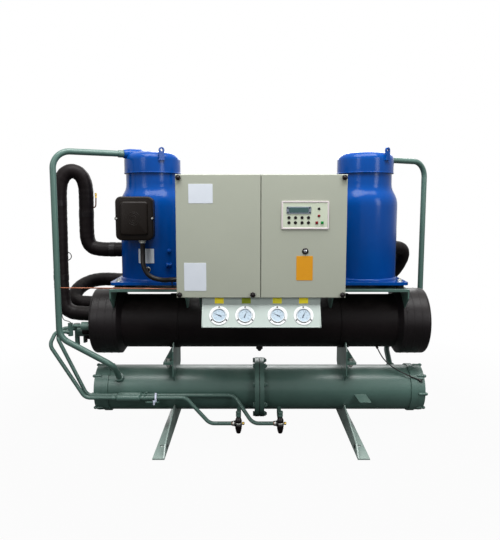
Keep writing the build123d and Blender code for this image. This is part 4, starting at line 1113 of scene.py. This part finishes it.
sleeveLook = {
    "left": [
        (-690, 0, 897), (-740, 0, 897), (-805, 0, 897), (-858, 0, 908), (-876, -1, 950), (-877, -2, 1000),
        (-876, -3, 1070), (-873, -6, 1150), (-873, -9, 1215), (-884, -14, 1258), (-908, -21, 1284),
        (-937, -28, 1291), (-965, -34, 1278), (-985, -39, 1248), (-995, -42, 1205), (-997, -44, 1120),
        (-997, -48, 980), (-998, -53, 820), (-997, -58, 690), (-988, -61, 620), (-955, -62, 585),
        (-900, -62, 577), (-846, -62, 577)],
    "right": [
        (625, 67, 897), (680, 106, 897), (735, 144, 897), (776, 175, 886), (788, 198, 850), (776, 222, 802),
        (742, 240, 745), (690, 245, 710), (620, 245, 705), (300, 245, 702), (0, 245, 700), (-300, 245, 700),
        (-640, 245, 700), (-720, 243, 704), (-800, 238, 712), (-870, 222, 716), (-925, 180, 708),
        (-962, 120, 685), (-974, 75, 655), (-968, 48, 625), (-930, 43, 613), (-846, 43, 612)],
    "radius": 36.6, "step": 9, "ripples": (0, -0.7, -0.3, 0.2, -0.9, -0.4, 0.1, -0.6, -1.1, -0.2, -0.5),
    "bands": {"left": (52, 330, 760, 1130), "right": (52, 700, 1500, 1850)}, "bandWidth": 34, "bandRise": 0.7,
    "wraps": [(431, 46, 136), (722, 5, 167), (758, 5, 167), (796, 5, 167)],    # x, width, the foam's radius
    "height": 530,
}


def makeSleeves():
    look = sleeveLook
    radius, step, ripples = look["radius"], look["step"], look["ripples"]
    for side in ("left", "right"):
        points = evenly(sampleRoute(look[side]), step)
        radii = [radius + ripple for ripple in ripples]
        makePiece(f"suctionSleeve_{side}", "blackFoam", [(hosePart(points, radii, 40), here)],
                  f"suction_pipe_{side}")
        bands = []
        for start in look["bands"][side]:
            first = int(start / step)
            last = min(first + int(look["bandWidth"] / step) + 1, len(points) - 1)
            bands.append((hosePart(points[first:last], [radius + look["bandRise"]], 40), here))
        makePiece(f"tapeBands_{side}", "foamCap", bands)
    wraps = []
    for x, width, foam in look["wraps"]:
        section = [(foam - 1, 0), (foam + 0.2, 0), (foam + 0.9, 0.8), (foam + 0.9, width - 0.8),
                   (foam + 0.2, width), (foam - 1, width)]
        places = [facingAlong((sign * x - width / 2, 0, look["height"]), (1, 0, 0)) for sign in (-1, 1)]
        wraps.append((ringPart(section, 96), places))
    makePiece("foamWraps", "foamCap", wraps)


makeSleeves()
print("sleeves made")


# Bolts of the middle flange and cap nuts of the heads

flangeLook = {
    "height": 175, "count": 8, "circle": 137, "face": 23.4, "headWidth": 23, "tips": {-1: 5, 1: 16},
    "nutCircle": 117, "nutFace": 834,
    "nut": [(8, 0), (8.4, 1), (8.4, 6), (7.6, 9.5), (5.6, 12.4), (2.6, 14.2)],
}


def boltCircle(sign, face, radius, share):
    # Places round the condenser's axis, facing its end; the share is of one step
    height, count = flangeLook["height"], flangeLook["count"]
    turns = [2 * pi * (index + share) / count for index in range(count)]
    return [facingAlong((sign * face, radius * cos(turn), height + radius * sin(turn)), (sign, 0, 0))
            for turn in turns]


def makeFlangeBolts():
    look = flangeLook
    bolts, nuts = [], []
    for sign, tip in look["tips"].items():
        places = boltCircle(sign, look["face"], look["circle"], 0.5)
        bolts += [(turnedPart([(13, 0), (13, 2)], 28), places),
                  (hexPart(look["headWidth"], 8, 1.2), [place @ at(0, 0, 1.6) for place in places]),
                  (turnedPart([(8, 3), (8, tip - 2), (6.4, tip)], 24), places)]
        nuts += [(turnedPart(look["nut"], 28, 0.4), boltCircle(sign, look["nutFace"], look["nutCircle"], 0))]
    makePiece("flangeBolts", "greenEnamel", bolts, "flange_bolts")
    makePiece("headNuts", "greenEnamel", nuts, "head_bolts")


makeFlangeBolts()
print("flange bolts made")


# Foam sleeves between the expansion valves and the upper vessel

expansionLook = {
    "sleeves": [((-884, -104, 497), 30, 19), ((-880, -78, 470), 28, 22)], "knob": (-868, -108, 455),
    "knobProfile": [(0, -16), (5.5, -15), (7.5, -11), (7.5, 2), (5, 5), (5, 16), (0, 16)],
    "wire": [(-986, -98, 592), (-985, -106, 572), (-974, -116, 556), (-958, -124, 552),
             (-942, -130, 551), (-932, -133, 543), (-930, -134, 526)],
    "wireDiameter": 4.2,
}


def makeExpansionSleeves():
    look = expansionLook
    parts = []
    for place, length, radius in look["sleeves"]:
        wall = [(radius - 3, 0), (radius, 3), (radius - 0.8, length / 2), (radius, length - 3),
                (radius - 2, length)]
        parts.append((turnedPart(wall, 36), [facingAlong(place, (1, 0, 0))]))
    parts.append((spunPart(look["knobProfile"], 24), [at(*look["knob"])]))
    makePiece("expansionSleeves", "blackFoam", parts)
    makeCurve("bulbWire", look["wire"], look["wireDiameter"], "wireSheath")


makeExpansionSleeves()
print("expansion sleeves made")


# Floor and light

floorLook = {"size": 24, "color": srgb(92, 92, 92), "roughness": 0.9, "near": 1.2, "clear": 2.4, "lift": 0.96}


def seenBy(tree, *rays):
    # The node and output that are 1 where one of the named rays looks at the surface
    path = addNode(tree, "LightPath")
    seen = (path, rays[0])
    for ray in rays[1:]:
        either = addMath(tree, "MAXIMUM")
        joinNodes(tree, (*seen, either, 0), (path, ray, either, 1))
        seen = (either, 0)
    return seen


def makeFloor():
    look = floorLook
    mesh = bpy.data.meshes.new("floor")
    bm = bmesh.new()
    bmesh.ops.create_circle(bm, cap_ends=True, radius=look["size"], segments=64)
    bm.to_mesh(mesh)
    bm.free()
    material = bpy.data.materials.new("paleFloor")
    material.use_nodes = True
    tree = material.node_tree
    shader = tree.nodes["Principled BSDF"]
    shader.inputs["Base Color"].default_value = look["color"]
    shader.inputs["Roughness"].default_value = look["roughness"]
    shader.inputs["Specular IOR Level"].default_value = 0.1
    white = addNode(tree, "Emission", Color=(1, 1, 1, 1))
    where = addNode(tree, "TexCoord")
    reach = addNode(tree, "VectorMath", {"operation": "LENGTH"})
    fade = addNode(tree, "MapRange", From_Min=look["near"], From_Max=look["clear"], To_Min=look["lift"],
                   To_Max=1.0)
    share = addMath(tree, "MULTIPLY")
    mix = addNode(tree, "MixShader")
    seen = seenBy(tree, "Is Camera Ray", "Is Transmission Ray")
    joinNodes(tree, (where, "Object", reach, 0), (reach, "Value", fade, "Value"), (*seen, share, 0),
              (fade, "Result", share, 1), (share, 0, mix, 0), (shader, 0, mix, 1), (white, 0, mix, 2),
              (mix, 0, tree.nodes["Material Output"], "Surface"))
    mesh.materials.append(material)
    addObject("floor", mesh)


lamps = {
    "overhead": {"place": (0.1, -0.9, 3.4), "aim": (0, 0, 0.6), "size": (3.2, 1.6), "power": 175},
    "frontLeft": {"place": (-2.4, -3.6, 2.6), "aim": (0, 0, 0.7), "size": (1.2, 1.8), "power": 36},
    "frontRight": {"place": (2.8, -3.0, 2.2), "aim": (0, 0, 0.7), "size": (1.0, 1.8), "power": 44},
    "back": {"place": (0.4, 3.0, 2.6), "aim": (0, 0, 0.8), "size": (3.0, 1.6), "power": 85},
}
skyLook = {"light": 0.22}


def makeLight():
    for name, look in lamps.items():
        data = bpy.data.lights.new(name, "AREA")
        data.shape = "RECTANGLE"
        data.size, data.size_y = look["size"]
        data.energy = look["power"]
        lamp = addObject(name, data)
        lamp.location = look["place"]
        aim = Vector(look["aim"]) - Vector(look["place"])
        lamp.rotation_euler = aim.to_track_quat("-Z", "Y").to_euler()
    world = bpy.context.scene.world or bpy.data.worlds.new("studio")
    bpy.context.scene.world = world
    world.use_nodes = True
    tree = world.node_tree
    tree.nodes.clear()
    output = addNode(tree, "OutputWorld")
    dim = addNode(tree, "Background", Color=(1, 1, 1, 1), Strength=skyLook["light"])
    white = addNode(tree, "Background", Color=(1, 1, 1, 1), Strength=1.0)
    mix = addNode(tree, "MixShader")
    seen = seenBy(tree, "Is Camera Ray", "Is Glossy Ray", "Is Transmission Ray")
    joinNodes(tree, (*seen, mix, 0), (dim, 0, mix, 1), (white, 0, mix, 2), (mix, 0, output, "Surface"))


makeFloor()
makeLight()
print("floor and light set")
